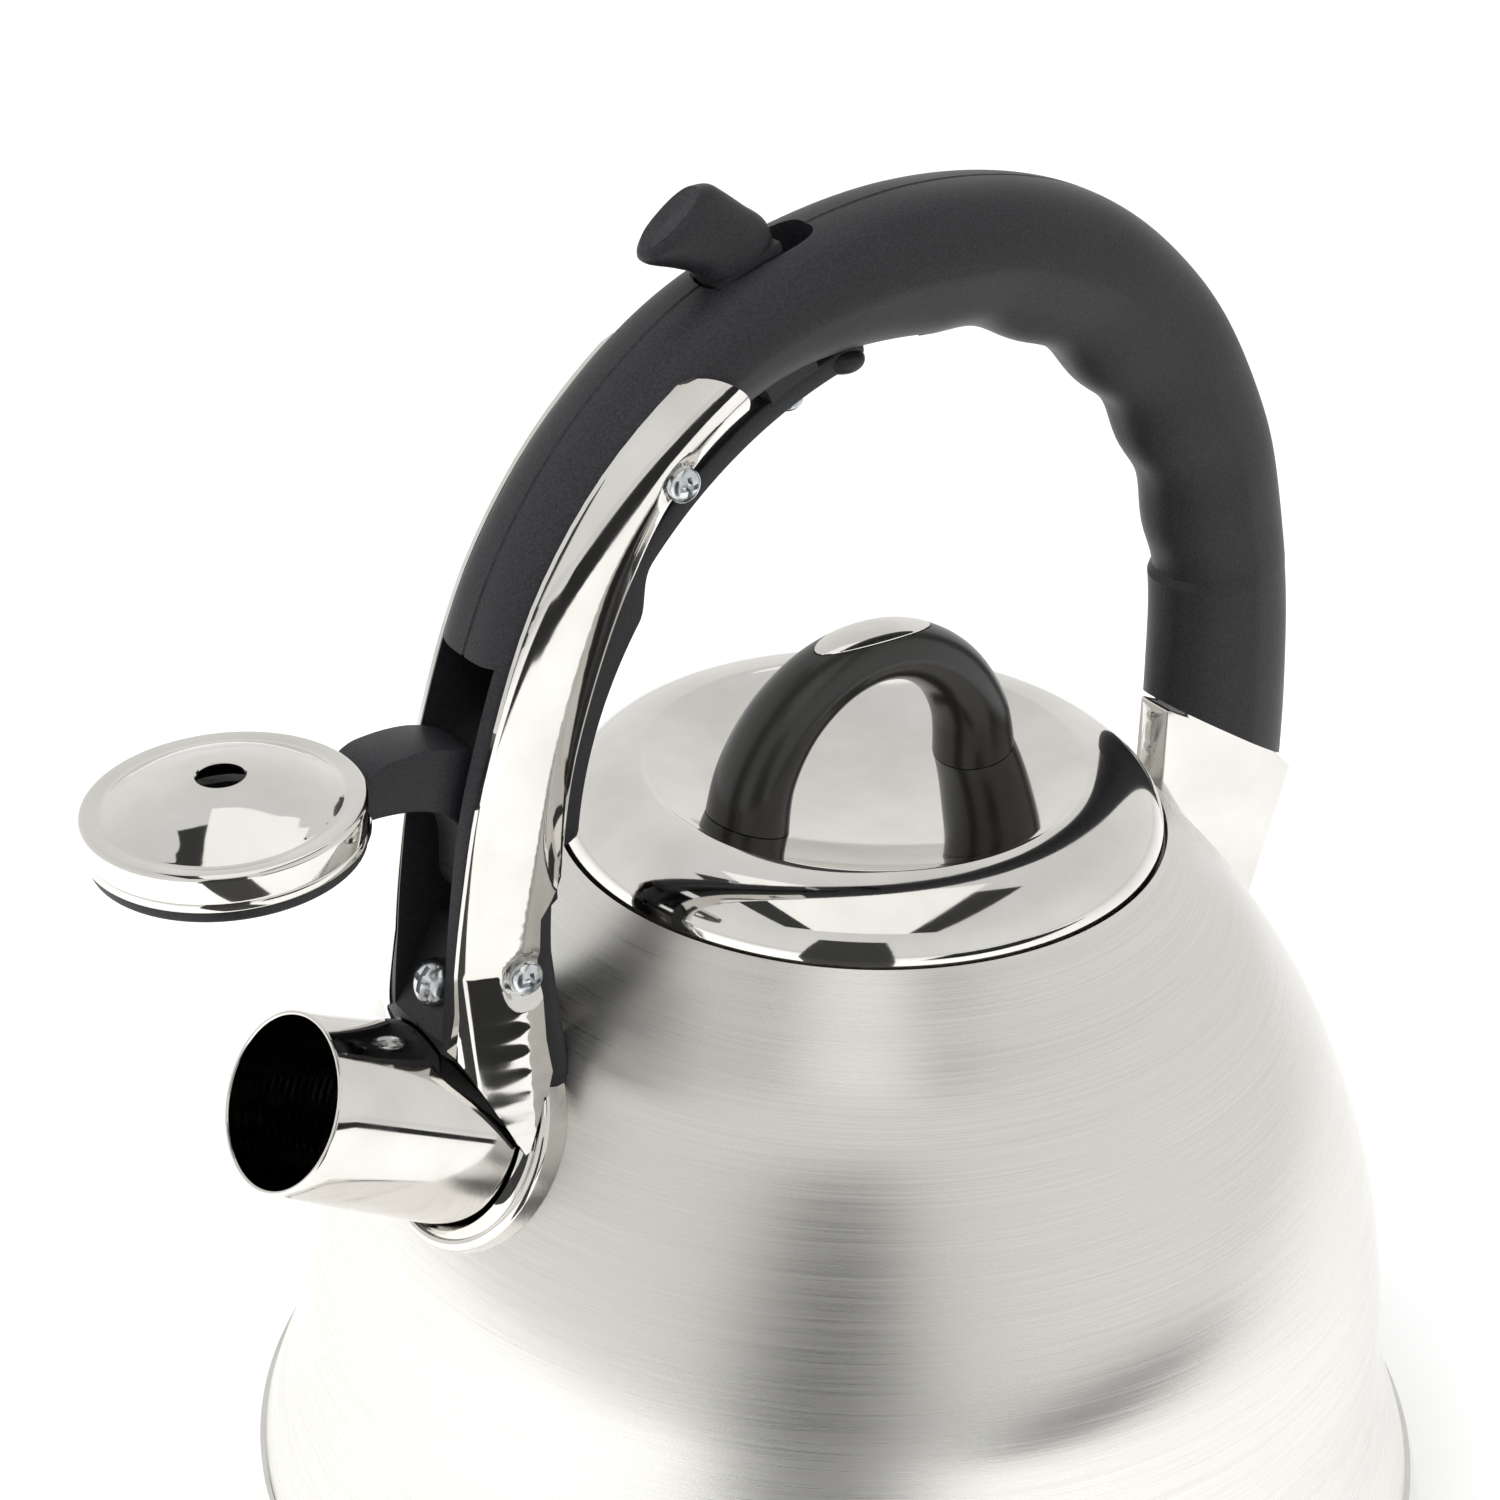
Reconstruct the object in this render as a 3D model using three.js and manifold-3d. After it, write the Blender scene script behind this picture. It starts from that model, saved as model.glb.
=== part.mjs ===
// Stovetop whistling kettle: spun steel body, short spout with a flip-up whistle cap that a slide bar
// in the arched handle opens and shuts, and a lift-off lid with an arch knob.
// Millimetres, +Z up. Origin at the centre of the underside. The spout points along -X and the handle
// arches over the lid in the XZ plane.
import * as THREE from "three";
import { mergeVertices } from "three/addons/utils/BufferGeometryUtils.js";
import Module from "manifold-3d";

const wasm = await Module();
wasm.setup();

// ---------- driving dimensions ----------
const GAP = 0.3; // clearance between pieces that touch
const RIM_Z = 154; // height of the lid opening's rim
const RIM_R = 51.5; // radius of the lid opening's rim
const WAIST_R = 96.9; // crease between the dome and the foot ring
const WAIST_Z = RIM_Z - 98.2;
const SEAM_R = 104.6; // joint between the brushed body and the polished base pan
const SEAM_Z = WAIST_Z - 26;
const BELLY_R = 107.8;
const BELLY_Z = 18;
const WALL = 0.9;
const NECK_R = 46.6; // opening inside the lid's ledge
const NECK_DEPTH = 9;
const LEDGE_DROP = 1.6; // lid ledge below the rim
const FLOOR_Z = 7.4; // inside of the kettle's floor
const PAN_FOOT_R = 101.5;
const BASE_CAP_R = 97;

const SPOUT_TILT = THREE.MathUtils.degToRad(27.5); // spout axis above the horizontal
const MOUTH_X = -112.8;
const MOUTH_Z = RIM_Z - 16.2;
const MOUTH_R = 14.3;
const ROOT_R = 16.6;
const SPOUT_LENGTH = 43;
const COLLAR_R = 20;
const COLLAR_START = 36.4; // distance from the mouth along the spout

const PIVOT_X = -74.9; // whistle arm pivot, across the front leg
const PIVOT_Z = RIM_Z + 13;
const OPEN_TURN = THREE.MathUtils.degToRad(59); // turn of the whistle arm from shut to open
const CAP_R = 21.1;
const CAP_SKIRT = 6;
const CAP_DOME_R = 17.6;
const CAP_DOME_RISE = 4.4;
const CAP_HOLE_R = 3.8;
const CAP_SHEET = 0.7;
const HOLDER_DEPTH = 8; // plastic holder under the cap, from the cap's rim plane down
const WHISTLE_R = 9.5;

const ARC_X = 12; // centre that the slide bar turns about
const ARC_Z = RIM_Z + 10;
const BAR_OUTER_R = 79;
const BAR_INNER_R = 71;
const BAR_THIN_R = 75; // underside of the bar's upper stretch
const BAR_HALF = 2.6; // half thickness across the handle
const CRANK_R = 5.56; // pivot to crank pin
const CRANK_PIN_R = 1.5;
const PIVOT_PIN_R = 2;
const HOLLOW_HALF = 7; // half width of the window in the front leg

const LID_R = 50.9;
const CREST_R = 37.4; // crest between the lid's rounded border and its dish
const CREST_RISE = 9.8;
const DISH_RISE = 2; // middle of the dish above the rim plane
const LID_SHEET = 0.8;
const SKIRT_R = 45.8;
const KNOB_SPAN = 24.5; // half distance between the knob's feet
const KNOB_RISE = 29.7; // top of the knob's centreline above the rim plane

const ROUND = 36; // facets round the body and lid
const SMALL_ROUND = 24; // facets round the spout and whistle

const FINISHES = {
  brushed: { color: 0xc9c8c4, metalness: 1, roughness: 0.35 },
  mirror: { color: 0xd8d7d4, metalness: 1, roughness: 0.08 },
  aluminium: { color: 0xc4c6c8, metalness: 1, roughness: 0.45 },
  zinc: { color: 0xd0d4d6, metalness: 1, roughness: 0.25 },
  plastic: { color: 0x2f2f32, metalness: 0, roughness: 0.6 },
  knob: { color: 0x262524, metalness: 0, roughness: 0.4 },
};

// ---------- helpers ----------
const group = new THREE.Group();
const v2 = (x, y) => new THREE.Vector2(x, y);
const lerp = THREE.MathUtils.lerp;

/** Adds a named piece; place sets the position and rotation of its mesh. */
function piece(name, geometry, finish, place) {
  const mesh = new THREE.Mesh(geometry, new THREE.MeshStandardMaterial(FINISHES[finish]));
  mesh.name = name;
  if (place) place(mesh);
  group.add(mesh);
}

/** Closed geometry as a manifold solid. */
function solid(geometry) {
  const bare = geometry.clone();
  bare.deleteAttribute("normal");
  bare.deleteAttribute("uv");
  const merged = mergeVertices(bare, 1e-4);
  const vertProperties = new Float32Array(merged.attributes.position.array);
  const triVerts = new Uint32Array(merged.index.array);
  return new wasm.Manifold(new wasm.Mesh({ numProp: 3, vertProperties, triVerts }));
}

/** Manifold solid as geometry. */
function geometryOf(body) {
  const mesh = body.getMesh();
  const geometry = new THREE.BufferGeometry();
  const positions = new Float32Array(mesh.vertProperties);
  geometry.setAttribute("position", new THREE.BufferAttribute(positions, 3));
  geometry.setIndex(new THREE.BufferAttribute(new Uint32Array(mesh.triVerts), 1));
  geometry.computeVertexNormals();
  return geometry;
}

/** Points of a smooth curve through the given [x, y] pairs. */
function smooth(pairs, steps) {
  return new THREE.SplineCurve(pairs.map(([x, y]) => v2(x, y))).getPoints(steps);
}

/** Points along an arc about (x, y), from angle a0 to a1 in degrees. */
function arc(x, y, radius, a0, a1, steps) {
  const points = [];
  for (let i = 0; i <= steps; i += 1) {
    const angle = THREE.MathUtils.degToRad(lerp(a0, a1, i / steps));
    points.push(v2(x + radius * Math.cos(angle), y + radius * Math.sin(angle)));
  }
  return points;
}

/** Shape turned about +Z, from an outline of (radius, z) points that closes on itself or on the axis. */
function turned(outline, segments) {
  const points = outline.map((p) => (Array.isArray(p) ? v2(p[0], p[1]) : p.clone()));
  if (points[0].x !== 0) points.push(points[0].clone());
  if (THREE.ShapeUtils.area(points) < 0) points.reverse();
  return new THREE.LatheGeometry(points, segments).rotateX(Math.PI / 2);
}

/** Outline in X and Z given thickness along Y. */
function slab(outline, y0, y1) {
  const shape = new THREE.Shape(outline.map((p) => (Array.isArray(p) ? v2(p[0], p[1]) : p)));
  const extrusion = new THREE.ExtrudeGeometry(shape, { depth: y1 - y0, bevelEnabled: false });
  return extrusion.rotateX(Math.PI / 2).translate(0, y1, 0);
}

/** Cylinder across the handle, along Y. */
function crossPin(x, z, radius, halfLength) {
  return new THREE.CylinderGeometry(radius, radius, 2 * halfLength, 20).translate(x, 0, z);
}

/** Closed skin over rings with the same number of points, with flat ends. */
function loft(rings) {
  const count = rings[0].length;
  const last = (rings.length - 1) * count;
  const faces = [];
  for (let a = 0; a < last; a += count) {
    const b = a + count;
    for (let i = 0; i < count; i += 1) {
      const j = (i + 1) % count;
      faces.push(a + i, b + j, a + j, a + i, b + i, b + j);
    }
  }
  for (let i = 1; i < count - 1; i += 1) {
    faces.push(0, i, i + 1, last, last + i + 1, last + i);
  }
  const positions = rings.flat().flatMap((p) => [p.x, p.y, p.z]);
  const geometry = new THREE.BufferGeometry();
  geometry.setAttribute("position", new THREE.Float32BufferAttribute(positions, 3));
  geometry.setIndex(faces);
  return geometry;
}

/** Superellipse ring between a crown and a root point of the XZ plane, narrower towards the root by taper. */
function section(crown, root, halfWidth, power, taper, grow) {
  const middle = crown.clone().add(root).multiplyScalar(0.5);
  const reach = crown.clone().sub(middle);
  const depth = reach.length() + grow;
  const out = reach.normalize();
  const ring = [];
  const count = 16;
  for (let i = 0; i < count; i += 1) {
    const angle = (2 * Math.PI * i) / count;
    const c = Math.cos(angle);
    const s = Math.sin(angle);
    const along = depth * Math.sign(c) * Math.abs(c) ** (2 / power);
    const narrowing = along < 0 ? 1 + (taper * along) / depth : 1;
    const across = (halfWidth + grow) * narrowing * Math.sign(s) * Math.abs(s) ** (2 / power);
    ring.push(new THREE.Vector3(middle.x + out.x * along, across, middle.y + out.y * along));
  }
  return ring;
}

/** Pan-head screw with a cross recess: shank along -Z, underside of the head at z = 0. */
function screw(headR, headRise, shankR, shankLength) {
  const crown = smooth([[headR, 0.25 * headRise], [0.8 * headR, 0.8 * headRise], [0, headRise]], 2);
  const shank = [[0, -shankLength], [shankR, -shankLength], [shankR, 0]];
  const blank = turned([...shank, [headR, 0], ...crown], 12);
  const arm = new THREE.BoxGeometry(1.1 * headR, 0.3 * headR, headRise).translate(0, 0, headRise);
  const cross = solid(arm).add(solid(arm.clone().rotateZ(Math.PI / 2)));
  return geometryOf(solid(blank).subtract(cross));
}

// ---------- body, base and spout ----------
// Profiles as [radius, height]: the dome from the rim down, the flare below the waist, the base pan.
const DOME = [
  [RIM_R, 0],
  [58.6, -7.9],
  [70.3, -21.6],
  [82.5, -41.3],
  [91.4, -63.8],
  [95.5, -83.5],
  [WAIST_R, -98.2],
];
const FLARE = [
  [WAIST_R, WAIST_Z],
  [99.1, WAIST_Z - 12],
  [102.2, WAIST_Z - 19],
  [SEAM_R, SEAM_Z],
];
const PAN_FOOT_Z = 4.2;
const BAND = [
  [SEAM_R + WALL, SEAM_Z - GAP],
  [107.2, SEAM_Z - 6],
  [BELLY_R, BELLY_Z],
  [106, 9],
  [PAN_FOOT_R, PAN_FOOT_Z],
];

/** Brushed body's outline from rim to seam, moved outwards by grow. */
function bodyOutline(grow) {
  const dome = smooth(DOME.map(([r, z]) => [r + grow, RIM_Z + z]), 7);
  const flare = smooth(FLARE.map(([r, z]) => [r + grow, z]), 3);
  return [...dome, ...flare.slice(1)];
}

/** Solid that fills the body's outside, for scribing the pieces that stand on it. */
function bodyBulk(grow) {
  return solid(turned([[0, RIM_Z + grow], ...bodyOutline(grow), [0, SEAM_Z]], ROUND));
}

/** Turns a shape from +Z up at the origin to the spout's axis at its mouth. */
function alongSpout(geometry) {
  return geometry.rotateY(SPOUT_TILT - Math.PI / 2).translate(MOUTH_X, 0, MOUTH_Z);
}

/** Solid cone that fills the spout's outside, from in front of the mouth to inside the body. */
function spoutBulk(grow) {
  const back = -SPOUT_LENGTH - 4;
  const cone = [[0, back], [ROOT_R + grow, back], [MOUTH_R + grow, 2], [0, 2]];
  return solid(alongSpout(turned(cone, SMALL_ROUND)));
}

/** Solid that fills the collar's outside and all behind it. */
function collarBulk(grow) {
  const r = COLLAR_R + grow;
  const front = grow - COLLAR_START;
  const back = -SPOUT_LENGTH - 4;
  return solid(alongSpout(turned([[0, back], [r, back], [r, front], [0, front]], SMALL_ROUND)));
}

function makeBody() {
  const ledge = RIM_Z - LEDGE_DROP;
  const inner = bodyOutline(-WALL).filter((p) => p.y < ledge - 2 * WALL);
  const outline = [
    ...bodyOutline(0),
    ...inner.reverse(),
    v2(RIM_R, ledge - WALL),
    v2(NECK_R + WALL, ledge - WALL),
    v2(NECK_R + WALL, RIM_Z - NECK_DEPTH),
    v2(NECK_R, RIM_Z - NECK_DEPTH),
    v2(NECK_R, ledge),
    v2(RIM_R - 0.3, ledge),
  ];
  const shell = solid(turned(outline, ROUND));
  piece("body_shell", geometryOf(shell.subtract(spoutBulk(GAP))), "brushed");
}

function makeBase() {
  const outer = smooth(BAND, 5);
  const inner = outer.map((p) => v2(p.x - WALL - 0.9, p.y)).filter((p) => p.y > FLOOR_Z + 2);
  const pan = [
    ...outer,
    v2(BASE_CAP_R + 0.5, PAN_FOOT_Z),
    v2(BASE_CAP_R + 0.5, FLOOR_Z - WALL),
    v2(0, FLOOR_Z - WALL),
    v2(0, FLOOR_Z),
    v2(PAN_FOOT_R - 1.5, FLOOR_Z),
    ...inner.reverse(),
  ];
  piece("base_pan", turned(pan, ROUND), "mirror");
  const spreaderTop = FLOOR_Z - WALL - GAP;
  const rim = BASE_CAP_R;
  const cap = [
    [0, 0],
    [rim - 1.5, 0],
    [rim, 1.5],
    [rim, spreaderTop],
    [rim - WALL, spreaderTop],
    [rim - WALL, WALL],
    [0, WALL],
  ];
  piece("base_cap", turned(cap, ROUND), "brushed");
  const core = rim - WALL - GAP;
  const disc = [[0, WALL + GAP], [core, WALL + GAP], [core, spreaderTop], [0, spreaderTop]];
  piece("heat_spreader_disc", turned(disc, ROUND), "aluminium");
}

function makeSpout() {
  const wall = 0.8;
  const tube = [
    [MOUTH_R, 0],
    [MOUTH_R - wall, 0],
    [ROOT_R - wall, -SPOUT_LENGTH],
    [ROOT_R, -SPOUT_LENGTH],
  ];
  piece("spout", alongSpout(turned(tube, SMALL_ROUND)), "mirror");
  const inside = ROOT_R + 0.4;
  const back = -COLLAR_START - 6;
  const bead = arc(COLLAR_R - 1.6, -COLLAR_START - 1.6, 1.6, 90, 0, 3);
  const ring = [v2(inside, back), v2(inside, -COLLAR_START), ...bead, v2(COLLAR_R, back)];
  const collar = solid(alongSpout(turned(ring, SMALL_ROUND))).subtract(bodyBulk(GAP));
  piece("spout_collar", geometryOf(collar), "mirror");
}

// ---------- handle ----------
// Crown and root lines of the arch as [x, height above the rim], from the front leg to the rear leg.
const CROWN = [
  [-88, -34], [-88, -8], [-86.6, 14], [-83, 36], [-73.6, 63.5], [-57, 86], [-32.7, 102.2],
  [3, 109.3], [38, 103.2], [64, 84.5], [81.5, 57.5], [90, 28], [93.5, 2], [94.5, -20],
];
const ROOT = [
  [-64, -38], [-66.4, -10], [-66.6, 10], [-63, 32.6], [-52.4, 57.7], [-39.3, 75], [-21, 84.4],
  [3, 85], [27, 79], [46, 65], [58.5, 47], [65.5, 26], [67, 6], [67, -20],
];
const STATIONS = 36;
const GRIPS = 4.5; // finger grooves along the underside of the grip
const GRIP_DEPTH = 1.3;
const crownLine = smooth(CROWN.map(([x, z]) => [x, RIM_Z + z]), STATIONS);
const rootLine = smooth(ROOT.map(([x, z]) => [x, RIM_Z + z]), STATIONS).map(grooved);

/** Root point at a station, lifted towards the crown where a finger groove lies. */
function grooved(point, i) {
  const along = (i / STATIONS - 0.545) / 0.3;
  if (along < 0 || along > 1) return point;
  const lift = GRIP_DEPTH * Math.sin(Math.PI * GRIPS * along) ** 2;
  return point.clone().addScaledVector(crownLine[i].clone().sub(point).normalize(), lift);
}

/** Half width of the arch at a station: narrow at the front leg, flared where it straddles the spout. */
function archHalfWidth(t, z) {
  const flare = THREE.MathUtils.clamp((RIM_Z + 2 - z) / 30, 0, 1);
  const leg = 10 + (t < 0.3 ? 6.5 * flare : 0);
  return lerp(leg, 11.5, THREE.MathUtils.smoothstep(t, 0.2, 0.42));
}

/** The arch as a solid, before the window, slots and channels are cut. */
function archSolid(grow) {
  const rings = crownLine.map((crown, i) => {
    const t = i / STATIONS;
    const rounding = THREE.MathUtils.smoothstep(t, 0.15, 0.38);
    const power = lerp(4.4, 2.5, rounding);
    return section(crown, rootLine[i], archHalfWidth(t, crown.y), power, lerp(0.08, 0.3, rounding), grow);
  });
  return solid(loft(rings));
}

const BAR_TRAVEL = 3.9; // degrees, upwards along the arch
const BAR_HIGH = 103; // angles about the bar's centre, in degrees: upper end under the trigger
const BAR_STEP = 141; // where the bar grows thicker
const BULGE_LOW = 177; // lower end of the thick stretch
const TONGUE_LOW = 185; // lower end, at the crank
const TONGUE_INNER_R = 75;
const TONGUE_OUTER_R = 80.7;
const SLOT_FRONT = 117.8; // tab slot in the crown
const SLOT_REAR = 106.2;
const TAB_FRONT = 117.3; // stem of the thumb tab at rest
const TAB_REAR = 110.4;
const TAB_HALF = 3.8;
const TRIGGER_MIDDLE = 105.7; // small knob under the bar's upper end
const TRIGGER_R = 76.3;
const TRIGGER_HALF = 4.2;

const TRIM_SCREWS = { upper: [-46.9, RIM_Z + 75.3, 12.3], lower: [-75.2, RIM_Z - 1.2, 12] };
const SPOUT_AXIS = v2(-Math.cos(SPOUT_TILT), Math.sin(SPOUT_TILT));
const BRACKET_SCREW = v2(-84.6, RIM_Z - 4.4);

/** Moves [x, z] pairs given from the lid's rim to the part's own height. */
const fromRim = (pairs) => pairs.map(([x, z]) => v2(x, RIM_Z + z));

/** Band between two radii about the slide bar's centre, over a range of angles, across Y. */
function barBand(innerR, outerR, a0, a1, half) {
  const outer = arc(ARC_X, ARC_Z, outerR, a0, a1, 14);
  const inner = arc(ARC_X, ARC_Z, innerR, a1, a0, 14);
  return solid(slab([...outer, ...inner], -half, half));
}

/** Wedge in plan that the rear bracket's walls follow, wider towards the rear. */
function rearWedge(grow, inset) {
  const front = 66.8 + inset - grow;
  const narrow = 3.6 + grow - 0.8 * inset;
  const wide = 10.4 + grow - inset;
  const shape = new THREE.Shape([v2(front, narrow), v2(98, wide), v2(98, -wide), v2(front, -narrow)]);
  const wedge = new THREE.ExtrudeGeometry(shape, { depth: 80, bevelEnabled: false });
  return solid(wedge.translate(0, 0, RIM_Z - 55));
}

// Outline of the rear bracket seen from the side, with the tongue that goes up inside the rear leg.
const REAR_FOOT = fromRim([
  [60, -50], [60, 1], [67.5, 1], [71, -0.8], [71, 18], [87, 18], [87, -8.5], [93.6, -15.5], [85.5, -50],
]);
const REAR_SLOT = fromRim([
  [60, -50], [60, 2], [70.7, -0.2], [70.7, 18.3], [87.3, 18.3], [87.3, -7], [99, -18], [99, -50],
]);
const FRONT_FOOT = fromRim([
  [-83.8, -12.6], [-77.2, 0.2], [-75.4, -0.7], [-79.6, -9.4], [-64, -17.5], [-64, -20], [-80.6, -11.4],
  [-82, -13.5],
]);
const FRONT_FOOT_SPACE = fromRim([[-84.6, -13.4], [-77.4, 0.6], [-66, 0.6], [-60, -20], [-80, -25]]);
const WINDOW = fromRim([
  [-100, -11], [-88, -11], [-79.6, 4], [-58, 4], [-58, 22], [-66, 30], [-66, 44], [-70, 53], [-80, 50.5],
  [-100, 50.5],
]);
const REAR_END = fromRim([[60, 4.6], [67, 2.2], [100, -17.5], [110, -60], [60, -60]]);
const FRONT_END = fromRim([[-87.2, -13], [-77, -30.5], [-60, -34], [-60, -80], [-110, -80], [-110, -13]]);

/** Cylinder along the spout's axis about the bracket screw. */
function bracketBore(radius, length) {
  const bore = new THREE.CylinderGeometry(radius, radius, length, 16).rotateX(Math.PI / 2);
  return solid(bore.rotateY(SPOUT_TILT - Math.PI / 2).translate(BRACKET_SCREW.x, 0, BRACKET_SCREW.y));
}

/** Cylinder along X into the rear leg, where its screw goes. */
function rearBore(radius, length, middleX) {
  const bore = new THREE.CylinderGeometry(radius, radius, length, 16).rotateZ(Math.PI / 2);
  return solid(bore.translate(middleX, 0, RIM_Z + 8));
}

/** Largest body of a solid, without the slivers that a cut leaves. */
function largest(body) {
  return body.decompose().sort((p, q) => q.volume() - p.volume())[0];
}

function makeHandle() {
  const half = BAR_HALF + 0.4;
  const wideChannel = barBand(58, TONGUE_OUTER_R + 0.5, 196, BULGE_LOW - BAR_TRAVEL - 3, half);
  const channel = barBand(58, BAR_OUTER_R + 0.5, 190, BAR_HIGH - BAR_TRAVEL - 4, half);
  const triggerSpace = barBand(58, BAR_OUTER_R + 0.5, 111, 95.5, TRIGGER_HALF + 0.5);
  const slot = barBand(BAR_OUTER_R - 2, 110, SLOT_FRONT, SLOT_REAR, TAB_HALF + 0.5);
  const rearSlot = rearWedge(GAP, 0).subtract(rearWedge(-GAP, 1)).intersect(solid(slab(REAR_SLOT, -14, 14)));
  const cuts = [
    solid(slab(REAR_END, -30, 30)),
    solid(slab(FRONT_END, -30, 30)),
    solid(slab(WINDOW, -HOLLOW_HALF, HOLLOW_HALF)),
    solid(slab(FRONT_FOOT_SPACE, -7.3, 7.3)),
    wideChannel,
    channel,
    triggerSpace,
    slot,
    rearSlot,
    bodyBulk(GAP),
    spoutBulk(GAP + 0.1),
    collarBulk(GAP),
    solid(crossPin(PIVOT_X, PIVOT_Z, PIVOT_PIN_R + GAP, 8.9)),
    bracketBore(2.3, 14),
    rearBore(3.6, 7, 93.4),
    rearBore(1.8, 20, 85),
  ];
  for (const [x, z] of Object.values(TRIM_SCREWS)) cuts.push(solid(crossPin(x, z, 1.7, 20)));
  let shell = archSolid(0);
  for (const cut of cuts) shell = shell.subtract(cut);
  piece("handle_shell", geometryOf(largest(shell)), "plastic");
}

function makeBrackets() {
  const walls = rearWedge(0, 0).subtract(rearWedge(0, 1));
  const rear = walls.intersect(solid(slab(REAR_FOOT, -14, 14))).subtract(bodyBulk(GAP));
  piece("rear_bracket", geometryOf(rear), "mirror");
  const front = solid(slab(FRONT_FOOT, -6.5, 6.5))
    .subtract(bodyBulk(GAP))
    .subtract(spoutBulk(GAP))
    .subtract(collarBulk(GAP))
    .subtract(bracketBore(2, 20));
  piece("front_bracket", geometryOf(front), "brushed");
  piece("bracket_screw", screw(3.9, 2.6, 1.7, 9), "zinc", (mesh) => {
    mesh.position.set(BRACKET_SCREW.x + SPOUT_AXIS.x * 0.4, 0, BRACKET_SCREW.y + SPOUT_AXIS.y * 0.4);
    mesh.rotation.y = SPOUT_TILT - Math.PI / 2;
  });
  piece("rear_handle_screw", screw(3.1, 1.8, 1.4, 10), "zinc", (mesh) => {
    mesh.position.set(90.3, 0, RIM_Z + 8);
    mesh.rotation.y = Math.PI / 2;
  });
}

// Lower end of a trim plate from the side, from its rear edge round its tip to its front edge.
const TRIM_FOOT = fromRim([
  [-72, 8], [-72.6, -6], [-70.5, -14], [-68.5, -20], [-69.5, -27], [-76, -31], [-87, -14],
]);
const TRIM_WRAP = 7.6; // half width left open between the plates behind the leg

/** The two polished plates that cover the sides of the front leg and wrap round its rear corners. */
function makeTrimPlates() {
  const first = Math.round(STATIONS * 0.09);
  const end = Math.round(STATIONS * 0.42);
  const front = [];
  const rear = [];
  for (let i = first; i <= end; i += 1) {
    const inward = rootLine[i].clone().sub(crownLine[i]).normalize();
    const margin = lerp(1.9, 3.3, (i - first) / (end - first)) + (i === end ? 4 : 0);
    front.push(crownLine[i].clone().addScaledVector(inward, margin));
    if (rootLine[i].y > RIM_Z + 13) rear.push(rootLine[i].clone().addScaledVector(inward, 2));
  }
  const outline = [...TRIM_FOOT, ...front, ...rear.reverse()];
  const skin = archSolid(GAP + 0.8).subtract(archSolid(GAP));
  const bounds = bodyBulk(2 * GAP).add(spoutBulk(2 * GAP)).add(collarBulk(2 * GAP));
  for (const [name, side] of [["near", -1], ["far", 1]]) {
    const keep = solid(slab(outline, side > 0 ? TRIM_WRAP : -30, side > 0 ? 30 : -TRIM_WRAP));
    let plate = skin.intersect(keep).subtract(bounds);
    for (const [x, z] of Object.values(TRIM_SCREWS)) {
      plate = plate.subtract(solid(crossPin(x, z, 1.7, 30)));
    }
    piece(`trim_plate_${name}`, geometryOf(largest(plate)), "mirror");
  }
}

function makeTrimScrews() {
  for (const [level, [x, z, y]] of Object.entries(TRIM_SCREWS)) {
    for (const [name, side] of [["near", -1], ["far", 1]]) {
      piece(`trim_screw_${level}_${name}`, screw(2.9, 1.8, 1.4, 4.4), "zinc", (mesh) => {
        mesh.position.set(x, side * y, z);
        mesh.rotation.x = side > 0 ? -Math.PI / 2 : Math.PI / 2;
      });
    }
  }
}

// ---------- lid ----------
function lidBorder(grow, steps) {
  const points = [];
  for (let i = 0; i <= steps; i += 1) {
    const angle = (Math.PI / 2) * (i / steps);
    const r = CREST_R + (LID_R - CREST_R + grow) * Math.cos(angle);
    points.push(v2(r, RIM_Z + (CREST_RISE + grow) * Math.sin(angle)));
  }
  return points;
}

/** Height of the lid's dish at a radius. */
function dishZ(r) {
  return RIM_Z + DISH_RISE + (CREST_RISE - DISH_RISE) * (r / CREST_R) ** 2;
}

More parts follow.
